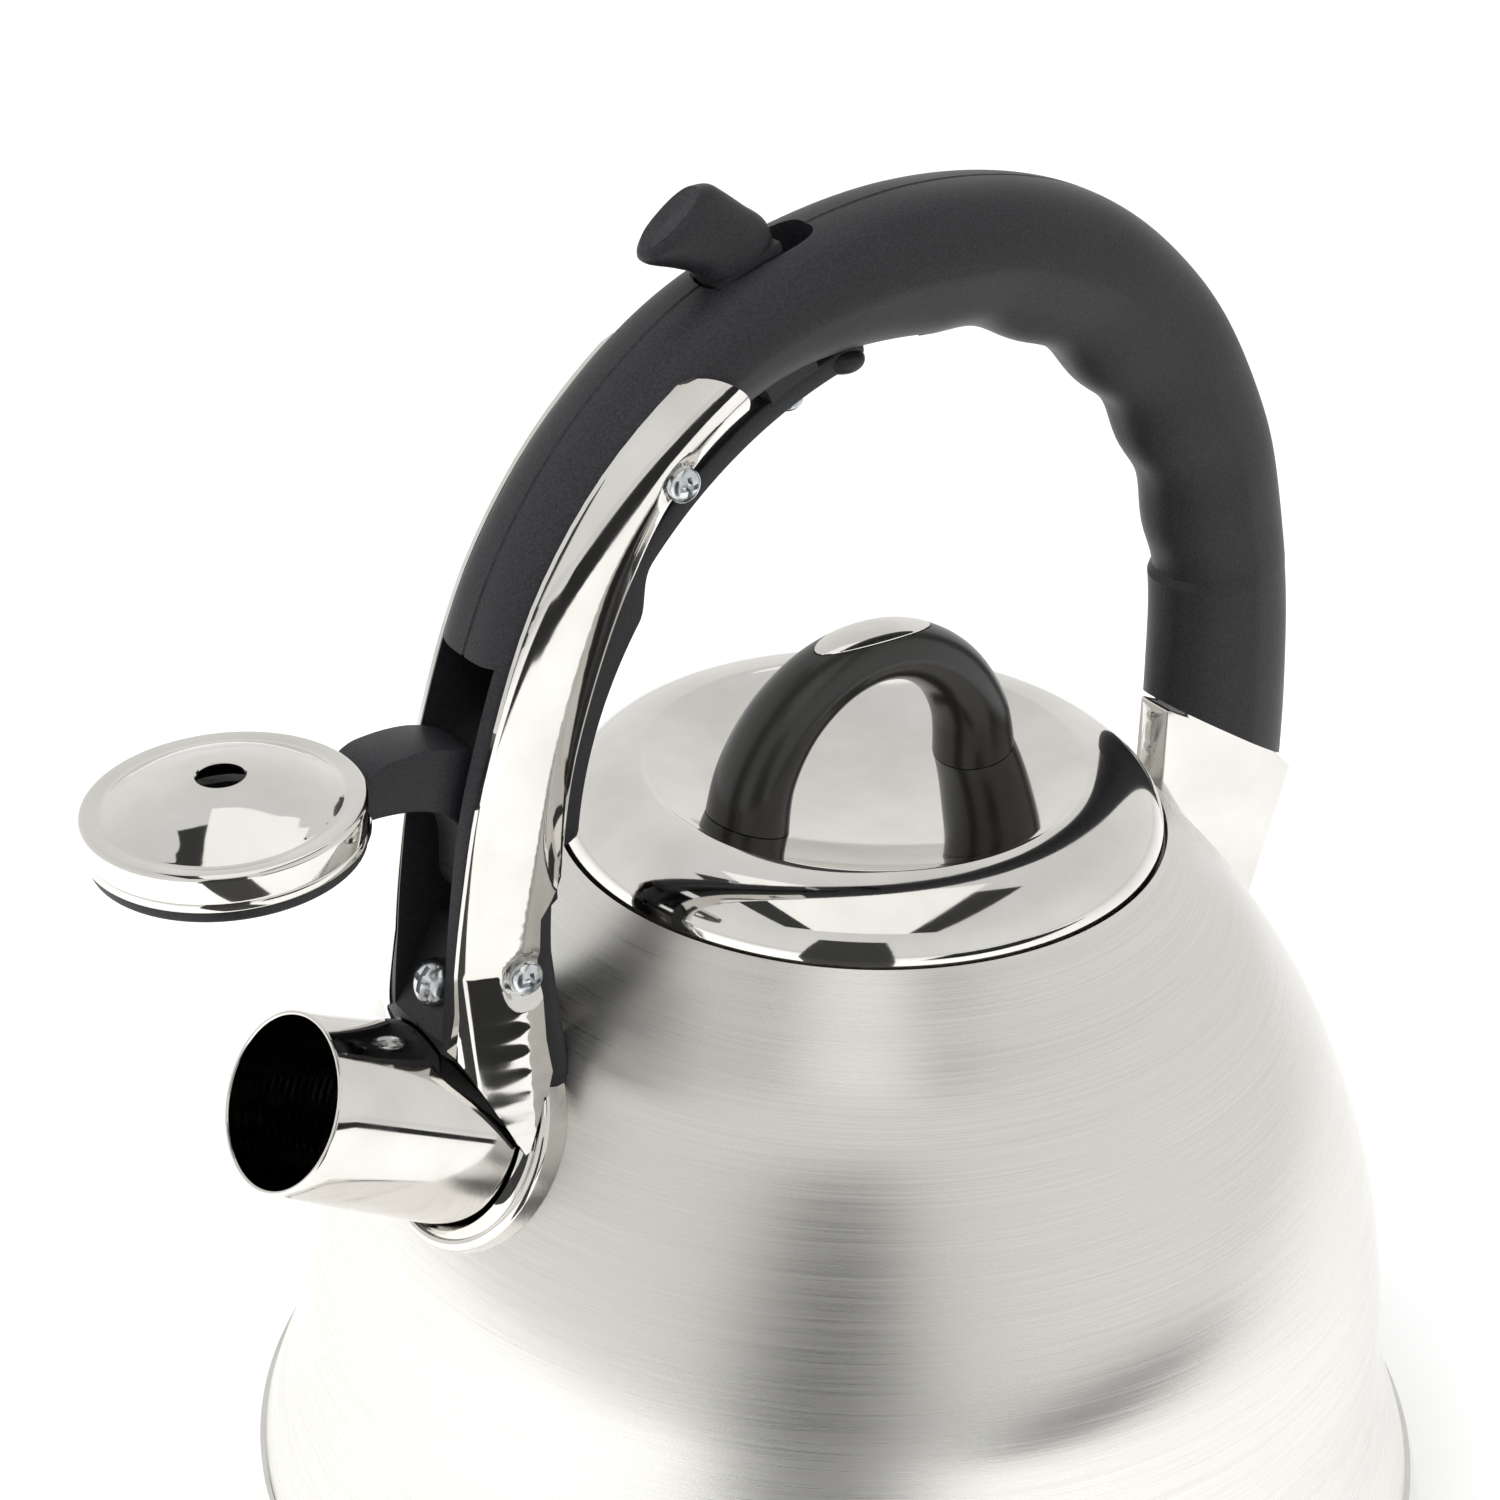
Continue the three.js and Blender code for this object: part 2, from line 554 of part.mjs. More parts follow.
function makeLid() {
  const dish = [36.5, 22, 0].map((r) => v2(r, dishZ(r)));
  const dishUnder = dish.map((p) => v2(p.x, p.y - LID_SHEET)).reverse();
  const outline = [
    ...lidBorder(0, 4),
    ...dish,
    ...dishUnder,
    ...lidBorder(-LID_SHEET, 4).reverse(),
    v2(LID_R - LID_SHEET, RIM_Z - 1),
    v2(LID_R, RIM_Z - 1),
  ];
  let shell = solid(turned(outline, ROUND));
  const skirt = [
    v2(SKIRT_R, RIM_Z - 8),
    v2(SKIRT_R, RIM_Z + 3),
    v2(SKIRT_R - 3, RIM_Z + 6.6),
    v2(SKIRT_R - 3 - LID_SHEET, RIM_Z + 6.2),
    v2(SKIRT_R - LID_SHEET, RIM_Z + 2.6),
    v2(SKIRT_R - LID_SHEET, RIM_Z - 8),
  ];
  piece("lid_skirt", turned(skirt, ROUND), "brushed");

  const knobLine = new THREE.CatmullRomCurve3(
    [-90, -68, -45, -22, 0, 22, 45, 68, 90].map((degrees) => {
      const angle = THREE.MathUtils.degToRad(degrees);
      const foot = RIM_Z + DISH_RISE + 1.4;
      const x = KNOB_SPAN * Math.sin(angle);
      return new THREE.Vector3(x, 0, foot + (RIM_Z + KNOB_RISE - foot) * Math.cos(angle));
    }),
  );
  const rings = [];
  const steps = 16;
  for (let i = 0; i <= steps; i += 1) {
    const t = i / steps;
    const centre = knobLine.getPoint(t);
    const tangent = knobLine.getTangent(t);
    const out = new THREE.Vector3(-tangent.z, 0, tangent.x);
    const foot = Math.abs(2 * t - 1) ** 1.5;
    const high = lerp(4.8, 7, foot);
    const wide = lerp(6.4, 7.6, foot);
    const ring = [];
    for (let k = 0; k < 12; k += 1) {
      const a = (2 * Math.PI * k) / 12;
      ring.push(centre.clone().addScaledVector(out, high * Math.cos(a)).setY(wide * Math.sin(a)));
    }
    rings.push(ring);
  }
  const overDish = [44, 36.5, 22, 0].map((r) => [r, dishZ(r) + GAP]);
  const dishGap = turned([[0, RIM_Z - 20], [44, RIM_Z - 20], ...overDish], ROUND);
  const bores = [];
  for (const side of [-1, 1]) {
    const bore = new THREE.CylinderGeometry(1.9, 1.9, 30, 12).rotateX(Math.PI / 2);
    bores.push(bore.translate(side * KNOB_SPAN, 0, RIM_Z + 2));
    shell = shell.subtract(solid(bores.at(-1)));
  }
  piece("lid_shell", geometryOf(shell), "mirror");
  const inlayOval = (x, y, z) =>
    solid(new THREE.SphereGeometry(1, 16, 8).scale(x, y, z).translate(0, 0, RIM_Z + KNOB_RISE + 4.6));
  let knob = solid(loft(rings)).subtract(solid(dishGap)).subtract(inlayOval(13, 4.6, 2.6));
  for (const bore of bores) knob = knob.subtract(solid(bore));
  piece("lid_knob", geometryOf(knob), "knob");

  const inlay = solid(loft(rings)).intersect(inlayOval(12.6, 4.3, 2.2));
  piece("knob_inlay", geometryOf(inlay), "mirror");

  for (const [name, side] of [["front", -1], ["rear", 1]]) {
    const under = dishZ(KNOB_SPAN) - LID_SHEET - 2.4;
    piece(`knob_screw_${name}`, screw(3.2, 2, 1.6, 12), "zinc", (mesh) => {
      mesh.position.set(side * KNOB_SPAN, 0, under);
      mesh.rotation.x = Math.PI;
    });
    const washer = turned([[1.9, 0], [4.6, 0], [4.6, 0.7], [1.9, 0.7]], 20);
    piece(`knob_washer_${name}`, washer, "zinc", (mesh) => {
      mesh.position.set(side * KNOB_SPAN, 0, under + GAP);
    });
  }
}

// ---------- slide bar ----------
const CRANK_REST = v2(
  PIVOT_X + CRANK_R * Math.cos(OPEN_TURN / 2),
  PIVOT_Z - CRANK_R * Math.sin(OPEN_TURN / 2),
);

// Head of the thumb tab in rings of [rear x, rear height, front x, front height, half width].
const TAB_RINGS = [
  [-22.5, 104, -34.6, 99.8, 3.8],
  [-24.6, 109.2, -37.2, 103, 3.8],
  [-28.6, 112.3, -41, 104.7, 3.75],
  [-32.8, 115.4, -46, 106.3, 3.7],
  [-34.6, 116.4, -46.9, 107.5, 3.4],
  [-37, 116.5, -46.4, 109, 2.8],
];

/** Bore through the bar and up into the thumb tab. */
function tabScrewBore(radius, fromR, toR) {
  const angle = THREE.MathUtils.degToRad((TAB_FRONT + TAB_REAR) / 2);
  const middle = (fromR + toR) / 2;
  const bore = new THREE.CylinderGeometry(radius, radius, toR - fromR, 14).rotateX(Math.PI / 2);
  bore.rotateY(Math.PI / 2 - angle);
  return solid(bore.translate(ARC_X + middle * Math.cos(angle), 0, ARC_Z + middle * Math.sin(angle)));
}

function makeSlideBar() {
  const thin = barBand(BAR_THIN_R, BAR_OUTER_R, BAR_STEP + 3, BAR_HIGH, BAR_HALF);
  const bulge = barBand(BAR_INNER_R, BAR_OUTER_R, BULGE_LOW, BAR_STEP, BAR_HALF);
  const tongue = barBand(TONGUE_INNER_R, TONGUE_OUTER_R, TONGUE_LOW, BULGE_LOW - 1.5, BAR_HALF);
  const notch = new THREE.BoxGeometry(10, 12, 2 * CRANK_PIN_R + 1);
  const angle = THREE.MathUtils.degToRad(TRIGGER_MIDDLE);
  const trigger = new THREE.SphereGeometry(1, 12, 8).scale(4, TRIGGER_HALF, 2.4);
  trigger.translate(ARC_X + TRIGGER_R * Math.cos(angle), 0, ARC_Z + TRIGGER_R * Math.sin(angle));
  const bar = thin
    .add(bulge)
    .add(tongue)
    .add(solid(trigger))
    .subtract(solid(notch.translate(CRANK_REST.x - 1.7, 0, CRANK_REST.y)))
    .subtract(tabScrewBore(1.5, BAR_OUTER_R - 6, BAR_OUTER_R + 2));
  piece("slide_bar", geometryOf(bar), "plastic");
}

function makeThumbTab() {
  const root = arc(ARC_X, ARC_Z, BAR_OUTER_R + GAP, TAB_REAR, TAB_FRONT, 2);
  const crown = arc(ARC_X, ARC_Z, 103.5, TAB_FRONT, TAB_REAR, 2);
  const stem = solid(slab([...root, ...crown], -TAB_HALF, TAB_HALF));
  const rings = TAB_RINGS.map(([rearX, rearZ, frontX, frontZ, half]) =>
    section(v2(frontX, RIM_Z + frontZ), v2(rearX, RIM_Z + rearZ), half, 2.4, 0, 0),
  );
  const stemSpace = barBand(BAR_OUTER_R - 2, 115, TAB_FRONT, TAB_REAR, TAB_HALF + 0.05);
  const tab = stem
    .add(solid(loft(rings)))
    .subtract(archSolid(0.6).subtract(stemSpace))
    .subtract(tabScrewBore(1.2, BAR_OUTER_R - 6, BAR_OUTER_R + 8));
  piece("thumb_tab", geometryOf(largest(tab)), "plastic");
  const angle = THREE.MathUtils.degToRad((TAB_FRONT + TAB_REAR) / 2);
  piece("tab_screw", screw(2.2, 1.2, 0.9, 8.4), "zinc", (mesh) => {
    const r = BAR_THIN_R - GAP;
    mesh.position.set(ARC_X + r * Math.cos(angle), 0, ARC_Z + r * Math.sin(angle));
    mesh.rotation.y = -Math.PI / 2 - angle;
  });
}

// ---------- whistle ----------
/** Places a shape from the cap's own frame, +Z up through the cap, to where the open cap stands. */
function onOpenCap(geometry) {
  const shut = v2(MOUTH_X, MOUTH_Z).addScaledVector(SPOUT_AXIS, HOLDER_DEPTH + GAP);
  const open = shut.rotateAround(v2(PIVOT_X, PIVOT_Z), -OPEN_TURN);
  return geometry.rotateY(SPOUT_TILT + OPEN_TURN - Math.PI / 2).translate(open.x, 0, open.y);
}

// Whistle arm from the side, cap open.
const ARM_SIDE = fromRim([
  [-80.6, 14], [-81, 21], [-84, 26.5], [-89.5, 29.6], [-97, 30.8], [-104, 30.4], [-104, 32.4], [-98, 38.2],
  [-93, 39.6], [-85, 39], [-78, 35.5], [-72, 28], [-69.6, 20], [-69.2, 12],
]);

function makeWhistle() {
  const sheet = CAP_SHEET;
  const dome = smooth([[CAP_DOME_R, 0], [13, 2.3], [8, 3.8], [CAP_HOLE_R, CAP_DOME_RISE]], 4);
  const under = dome.map((p) => v2(p.x, p.y - sheet)).reverse();
  const shell = [
    v2(CAP_R, -CAP_SKIRT),
    v2(CAP_R, -0.8),
    v2(CAP_R - 0.8, 0),
    ...dome,
    ...under,
    v2(CAP_R - sheet, -sheet),
    v2(CAP_R - sheet, -CAP_SKIRT),
  ];
  piece("whistle_cap", onOpenCap(turned(shell, SMALL_ROUND)), "mirror");

  const inner = CAP_R - sheet - GAP;
  const top = -sheet - GAP;
  const flange = -CAP_SKIRT - GAP;
  const holder = turned(
    [
      [WHISTLE_R, -HOLDER_DEPTH],
      [CAP_R - 0.7, -HOLDER_DEPTH],
      [CAP_R - 0.7, flange],
      [inner, flange],
      [inner, top],
      [WHISTLE_R, top],
    ],
    SMALL_ROUND,
  );
  const crank = [
    ...arc(CRANK_REST.x, CRANK_REST.y, 3.2, -120, 60, 8),
    ...arc(PIVOT_X, PIVOT_Z, 5.4, 60, 240, 8),
  ];
  const reach = CAP_R + GAP;
  const skirtSpace = new THREE.CylinderGeometry(reach, reach, 20, 40).rotateX(Math.PI / 2);
  const throat = new THREE.CylinderGeometry(WHISTLE_R + 2, WHISTLE_R + 2, 30, 32).rotateX(Math.PI / 2);
  const rearOfPivot = arc(PIVOT_X, PIVOT_Z, 5.6, -100, 80, 10);
  const forkSpace = solid(slab([...rearOfPivot, v2(-50, PIVOT_Z + 30), v2(-50, PIVOT_Z - 30)], -3.1, 3.1));
  const beam = solid(slab(ARM_SIDE, -5, 5))
    .subtract(solid(onOpenCap(skirtSpace.translate(0, 0, 10 + flange))))
    .subtract(solid(onOpenCap(throat)));
  const arm = solid(onOpenCap(holder))
    .add(beam.add(solid(slab(crank, -5.6, 5.6))).subtract(forkSpace))
    .add(solid(crossPin(PIVOT_X, PIVOT_Z, 5.4, 5.6)))
    .subtract(solid(crossPin(PIVOT_X, PIVOT_Z, PIVOT_PIN_R + GAP, 10)))
    .subtract(solid(crossPin(CRANK_REST.x, CRANK_REST.y, CRANK_PIN_R + GAP, 10)));
  piece("whistle_arm", geometryOf(arm), "plastic");

  const reed = WHISTLE_R - GAP;
  const plate = (z) => onOpenCap(turned([[1.3, z], [reed, z], [reed, z + 0.6], [1.3, z + 0.6]], SMALL_ROUND));
  piece("whistle_plate_upper", plate(top - 1.6), "brushed");
  piece("whistle_plate_lower", plate(1 - HOLDER_DEPTH), "brushed");
  piece("crank_pin", crossPin(CRANK_REST.x, CRANK_REST.y, CRANK_PIN_R, 5.4), "zinc");
  piece("pivot_pin", crossPin(PIVOT_X, PIVOT_Z, PIVOT_PIN_R, 8.6), "zinc");
}

makeBody();
makeBase();
makeSpout();
makeHandle();
makeBrackets();
makeTrimPlates();
makeTrimScrews();
makeSlideBar();
makeThumbTab();
makeWhistle();
makeLid();

export default group;
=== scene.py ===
"""Stovetop whistling kettle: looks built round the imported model.

Sizes are in millimetres in the model's frame (+Z up, origin at the centre of the underside, spout
along -X) and turn to metres where a mesh is made.
"""
from __future__ import annotations

import logging
import math
from dataclasses import dataclass
from enum import Enum
from typing import Callable, ClassVar, Sequence

import bmesh
import bpy
from mathutils import Matrix, Vector


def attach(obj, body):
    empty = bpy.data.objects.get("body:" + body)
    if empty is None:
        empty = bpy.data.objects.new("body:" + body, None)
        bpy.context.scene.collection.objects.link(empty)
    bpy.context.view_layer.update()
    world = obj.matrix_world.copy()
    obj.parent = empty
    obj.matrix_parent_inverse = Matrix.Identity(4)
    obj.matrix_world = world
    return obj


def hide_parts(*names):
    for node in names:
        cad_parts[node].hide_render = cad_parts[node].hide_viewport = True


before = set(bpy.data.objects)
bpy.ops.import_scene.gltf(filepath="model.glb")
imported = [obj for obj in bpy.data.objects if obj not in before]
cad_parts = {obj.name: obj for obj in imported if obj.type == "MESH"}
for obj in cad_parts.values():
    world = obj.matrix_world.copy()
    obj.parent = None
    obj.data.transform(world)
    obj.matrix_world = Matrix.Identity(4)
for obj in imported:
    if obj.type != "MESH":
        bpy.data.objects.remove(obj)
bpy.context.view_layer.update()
log = logging.getLogger("kettle")

Pair = tuple[float, float]
Ring = list[Vector]
Piece = bpy.types.Object
Tree = bpy.types.NodeTree
Socket = bpy.types.NodeSocket

GAP = 0.3  # clearance between pieces that touch
RIM = 154.0  # height of the lid opening's rim
SEAM_Z = 29.8  # joint between the brushed body and the polished base pan
TILT = math.radians(27.5)  # spout axis above the horizontal
MOUTH = (-112.8, RIM - 16.2)  # centre of the spout's mouth, x and height
PIVOT = (-74.9, RIM + 13)  # whistle arm pivot
BAR_CENTRE = (12.0, RIM + 10)  # centre that the slide bar turns about
OPEN_TURN = math.radians(59)  # turn of the whistle from shut to open
SCRATCH = 0.00002  # depth in metres of the scratches that brushing and wiping leave


class Body(Enum):
    """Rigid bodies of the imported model."""

    KETTLE = "kettle"
    SLIDER = "slider"
    WHISTLE = "whistle"
    LID = "lid"


class Cut(Enum):
    """Ways to combine one solid with another."""

    SUBTRACT = "DIFFERENCE"
    JOIN = "UNION"
    KEEP = "INTERSECT"


# ---------- curves and outlines ----------
def lerp(a: float, b: float, t: float) -> float:
    """Value a fraction t of the way from a to b."""
    return a + (b - a) * t


def smoothstep(x: float, low: float, high: float) -> float:
    """Soft ramp from 0 at low to 1 at high."""
    t = min(1.0, max(0.0, (x - low) / (high - low)))
    return t * t * (3 - 2 * t)


def squared(wave: float, power: float) -> float:
    """Cosine or sine drawn out for a superellipse; a power of 2 leaves a circle."""
    return math.copysign(abs(wave) ** (2 / power), wave)


def through(pairs: Sequence[Sequence[float]], steps: int) -> list[tuple[float, ...]]:
    """Smooth curve through points.

    Args:
        pairs: points of any dimension.
        steps: number of intervals along the whole curve.

    Returns:
        steps + 1 points along a uniform Catmull-Rom curve.
    """
    last = len(pairs) - 1
    points = []
    for k in range(steps + 1):
        place = last * k / steps
        i = min(int(place), last - 1)
        w = place - i
        p0, p1, p2, p3 = (pairs[min(max(j, 0), last)] for j in (i - 1, i, i + 1, i + 2))
        point = []
        for a, b, c, d in zip(p0, p1, p2, p3):
            v0, v1 = (c - a) / 2, (d - b) / 2
            point.append((2 * b - 2 * c + v0 + v1) * w**3 + (3 * c - 3 * b - 2 * v0 - v1) * w**2 + v0 * w + b)
        points.append(tuple(point))
    return points


def arc(centre: Pair, radius: float, start: float, end: float, steps: int) -> list[Pair]:
    """Points along an arc.

    Args:
        centre: centre of the arc.
        radius: its radius.
        start: first angle in degrees.
        end: last angle in degrees.
        steps: number of intervals.

    Returns:
        steps + 1 points.
    """
    angles = (math.radians(lerp(start, end, k / steps)) for k in range(steps + 1))
    return [(centre[0] + radius * math.cos(a), centre[1] + radius * math.sin(a)) for a in angles]


def even_ring(power: float, depth: float, half: float, taper: float, count: int) -> list[Pair]:
    """Superellipse section with evenly spaced points.

    Args:
        power: 2 is an ellipse, larger is boxier.
        depth: half size from the crown to the root.
        half: half width.
        taper: share by which the root side is wider.
        count: number of points.

    Returns:
        (along, across) points, the first on the crown.
    """
    fine = []
    for k in range(count * 8 + 1):
        angle = 2 * math.pi * k / (count * 8)
        c, s = math.cos(angle), math.sin(angle)
        along = depth * squared(c, power)
        wider = 1 + taper * along / depth if along < 0 else 1
        fine.append((along, half * wider * squared(s, power)))
    reach = [0.0]
    for a, b in zip(fine, fine[1:]):
        reach.append(reach[-1] + math.dist(a, b))
    ring, place_at = [], 0
    for k in range(count):
        target = reach[-1] * k / count
        while reach[place_at + 1] < target:
            place_at += 1
        share = (target - reach[place_at]) / max(1e-9, reach[place_at + 1] - reach[place_at])
        a, b = fine[place_at], fine[place_at + 1]
        ring.append((lerp(a[0], b[0], share), lerp(a[1], b[1], share)))
    return ring


def from_rim(pairs: Sequence[Pair]) -> list[Pair]:
    """Points whose heights are given from the rim, at their height in the model."""
    return [(x, RIM + z) for x, z in pairs]


def rounded(outline: Sequence[Pair], radius: float, steps: int = 5) -> list[Pair]:
    """Closed outline with its corners rounded.

    Args:
        outline: corners in order.
        radius: largest radius; a short side gets a smaller one.
        steps: intervals round each corner.

    Returns:
        The rounded outline.
    """
    result: list[Pair] = []
    count = len(outline)
    for i, corner in enumerate(outline):
        here = Vector(corner)
        before = Vector(outline[i - 1]) - here
        after = Vector(outline[(i + 1) % count]) - here
        half = before.angle(after, math.pi) / 2
        if half > math.radians(84):
            result.append(tuple(here))
            continue
        reach = min(radius / math.tan(half), before.length * 0.45, after.length * 0.45)
        first = here + before.normalized() * reach
        final = here + after.normalized() * reach
        for k in range(steps + 1):
            t = k / steps
            bend = first * (1 - t) ** 2 + here * 2 * t * (1 - t) + final * t * t
            result.append(tuple(bend))
    return result


# ---------- meshes ----------
def make_object(name: str, verts: Sequence[Sequence[float]], faces: Sequence[Sequence[int]]) -> Piece:
    """New mesh object with outward faces.

    Args:
        name: name of the object.
        verts: points in millimetres.
        faces: corner numbers of each face.

    Returns:
        The object, linked to the scene, at the origin.
    """
    mesh = bpy.data.meshes.new(name)
    mesh.from_pydata([tuple(c / 1000 for c in v) for v in verts], [], faces)
    work = bmesh.new()
    work.from_mesh(mesh)
    bmesh.ops.remove_doubles(work, verts=work.verts, dist=1e-7)
    bmesh.ops.recalc_face_normals(work, faces=work.faces)
    work.to_mesh(mesh)
    work.free()
    obj = bpy.data.objects.new(name, mesh)
    bpy.context.scene.collection.objects.link(obj)
    return obj


def shade(obj: Piece, sharp: float = 32.0) -> Piece:
    """Smooth shading with edges kept sharp above an angle in degrees."""
    obj.data.polygons.foreach_set("use_smooth", [True] * len(obj.data.polygons))
    obj.data.set_sharp_from_angle(angle=math.radians(sharp))
    return obj


def place(obj: Piece, turn: float, origin: Pair) -> Piece:
    """Turns a mesh about Y, then moves it.

    Args:
        obj: the piece.
        turn: angle in radians.
        origin: x and height to move it by, in millimetres.

    Returns:
        The piece.
    """
    shift = Matrix.Translation((origin[0] / 1000, 0, origin[1] / 1000))
    obj.data.transform(shift @ Matrix.Rotation(turn, 4, "Y"))
    return obj


def crosswise(obj: Piece) -> Piece:
    """Turns a shape about X, so that its own axis lies along Y."""
    obj.data.transform(Matrix.Rotation(math.pi / 2, 4, "X"))
    return obj


def lathe(name: str, outline: Sequence[Pair], segments: int = 192) -> Piece:
    """Solid turned about Z.

    Args:
        name: name of the object.
        outline: (radius, height) points of a closed section, or one that starts and ends on the axis.
        segments: facets round the axis.

    Returns:
        The closed object.
    """
    on_axis = outline[0][0] < 1e-6
    count = len(outline)
    verts = []
    for s in range(segments):
        a = 2 * math.pi * s / segments
        verts += [(r * math.cos(a), r * math.sin(a), z) for r, z in outline]
    faces = []
    for s in range(segments):
        here, there = s * count, ((s + 1) % segments) * count
        for i in range(count - 1 if on_axis else count):
            j = (i + 1) % count
            faces.append((here + i, there + i, there + j, here + j))
    return make_object(name, verts, faces)


def prism(name: str, outline: Sequence[Pair], low: float, high: float) -> Piece:
    """Closed outline in X and Z given a thickness.

    Args:
        name: name of the object.
        outline: (x, height) corners in order.
        low: y of one side.
        high: y of the other side.

    Returns:
        The closed object.
    """
    count = len(outline)
    verts = [(x, y, z) for y in (low, high) for x, z in outline]
    faces = [tuple(range(count)), tuple(range(2 * count - 1, count - 1, -1))]
    faces += [(i, (i + 1) % count, count + (i + 1) % count, count + i) for i in range(count)]
    return make_object(name, verts, faces)


def loft(name: str, rings: Sequence[Ring]) -> Piece:
    """Closed skin over rings, with flat ends.

    Args:
        name: name of the object.
        rings: rings in order, all with the same number of points.

    Returns:
        The closed object.
    """
    count = len(rings[0])
    verts = [p for ring in rings for p in ring]
    faces: list[tuple[int, ...]] = []
    for r in range(len(rings) - 1):
        here, there = r * count, (r + 1) * count
        faces += [
            (here + i, here + (i + 1) % count, there + (i + 1) % count, there + i) for i in range(count)
        ]
    faces.append(tuple(range(count)))
    faces.append(tuple(range((len(rings) - 1) * count, len(rings) * count)))
    return make_object(name, verts, faces)


def bake(obj: Piece) -> Piece:
    """Turns an object's modifiers into plain mesh."""
    bpy.context.view_layer.update()
    graph = bpy.context.evaluated_depsgraph_get()
    mesh = bpy.data.meshes.new_from_object(obj.evaluated_get(graph), depsgraph=graph)
    obj.modifiers.clear()
    obj.data = mesh
    return obj


def carve(obj: Piece, how: Cut, *others: Piece) -> Piece:
    """Combines an object with others, which are used up.

    Args:
        obj: the object that stays.
        how: the way to combine them.
        others: solids to cut away, join or keep within.

    Returns:
        obj with its new mesh.
    """
    for other in others:
        modifier = obj.modifiers.new("combine", "BOOLEAN")
        modifier.operation = how.value
        modifier.solver = "EXACT"
        modifier.object = other
    bake(obj)
    for other in others:
        bpy.data.objects.remove(other)
    return obj


def soften(obj: Piece, width: float, segments: int = 3) -> Piece:
    """Rounds the sharp edges of an object.

    Args:
        obj: the object.
        width: width of the rounding in millimetres.
        segments: steps across the rounding.

    Returns:
        The object with its new mesh.
    """
    modifier = obj.modifiers.new("soften", "BEVEL")
    modifier.width = width / 1000
    modifier.segments = segments
    modifier.limit_method = "ANGLE"
    modifier.angle_limit = math.radians(35)
    modifier.use_clamp_overlap = True
    return bake(obj)


def from_node(name: str, node: str) -> Piece:
    """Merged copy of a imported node's mesh, with its flat faces made whole.

    Args:
        name: name of the copy.
        node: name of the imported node.

    Returns:
        The copy, at the origin.
    """
    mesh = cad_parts[node].data.copy()
    mesh.materials.clear()
    work = bmesh.new()
    work.from_mesh(mesh)
    bmesh.ops.remove_doubles(work, verts=work.verts, dist=2e-6)
    bmesh.ops.dissolve_limit(work, angle_limit=math.radians(2), verts=work.verts, edges=work.edges)
    work.to_mesh(mesh)
    work.free()
    obj = bpy.data.objects.new(name, mesh)
    bpy.context.scene.collection.objects.link(obj)
    return obj


def reshape(obj: Piece, move: Callable[[Vector], Vector]) -> Piece:
    """Moves every point of a mesh by a rule that takes and gives millimetres."""
    for vertex in obj.data.vertices:
        vertex.co = move(vertex.co * 1000) / 1000
    return obj


# ---------- materials ----------
def linear(hex_colour: str) -> tuple[float, float, float, float]:
    """Colour written as sRGB hex, as linear red, green, blue and alpha."""
    values = [int(hex_colour[i : i + 2], 16) / 255 for i in (1, 3, 5)]
    return (*(v / 12.92 if v <= 0.04045 else ((v + 0.055) / 1.055) ** 2.4 for v in values), 1.0)


def add(
    tree: Tree,
    kind: str,
    settings: dict[str, object] | None = None,
    values: dict[str | int, object] | None = None,
    links: dict[str | int, Socket] | None = None,
) -> bpy.types.Node:
    """Adds a node to a tree.

    Args:
        tree: the tree.
        kind: the node's type.
        settings: properties of the node.
        values: values of its input sockets.
        links: sockets that feed its inputs.

    Returns:
        The node.
    """
    node = tree.nodes.new(kind)
    for key, value in (settings or {}).items():
        setattr(node, key, value)
    for key, value in (values or {}).items():
        node.inputs[key].default_value = value
    for key, socket in (links or {}).items():
        tree.links.new(socket, node.inputs[key])
    return node


def blank_material(name: str) -> tuple[bpy.types.Material, Tree]:
    """New material with an empty node tree."""
    material = bpy.data.materials.new(name)
    material.use_nodes = True
    material.node_tree.nodes.clear()
    return material, material.node_tree


def ramp(tree: Tree, source: Socket, low: float, high: float) -> Socket:
    """Spreads the useful middle of a noise value over a range.

    Args:
        tree: the material's tree.
        source: the noise value.
        low: result for a low value.
        high: result for a high value.

    Returns:
        The socket with the result.
    """
    links = {"Value": source}
    values = {"From Min": 0.3, "From Max": 0.7, "To Min": low, "To Max": high}
    return add(tree, "ShaderNodeMapRange", {}, values, links).outputs["Result"]


def close_tree(
    tree: Tree,
    tint: tuple[str, str, Socket],
    relief: tuple[float, float, Socket],
    rough: Socket,
    values: dict[str, object],
    links: dict[str, Socket] | None = None,
) -> None:
    """Ends a finish's tree with its colour, bump, shader and output.

    Args:
        tree: the material's tree.
        tint: two sRGB colours and the noise value that mixes them.
        relief: strength and depth in metres of the bump, and its height.
        rough: the roughness.
        values: other values of the shader.
        links: other sockets that feed the shader.
    """
    first, second, share = tint
    strength, depth, height = relief
    ends = {6: linear(first), 7: linear(second)}
    mix = add(tree, "ShaderNodeMix", {"data_type": "RGBA"}, ends, {0: ramp(tree, share, 0.0, 1.0)})
    bump = add(tree, "ShaderNodeBump", {}, {"Strength": strength, "Distance": depth}, {"Height": height})
    sockets = {"Base Color": mix.outputs[2], "Roughness": rough, "Normal": bump.outputs["Normal"]}
    shader = add(tree, "ShaderNodeBsdfPrincipled", {}, values, {**sockets, **(links or {})})
    add(tree, "ShaderNodeOutputMaterial", links={"Surface": shader.outputs[0]})


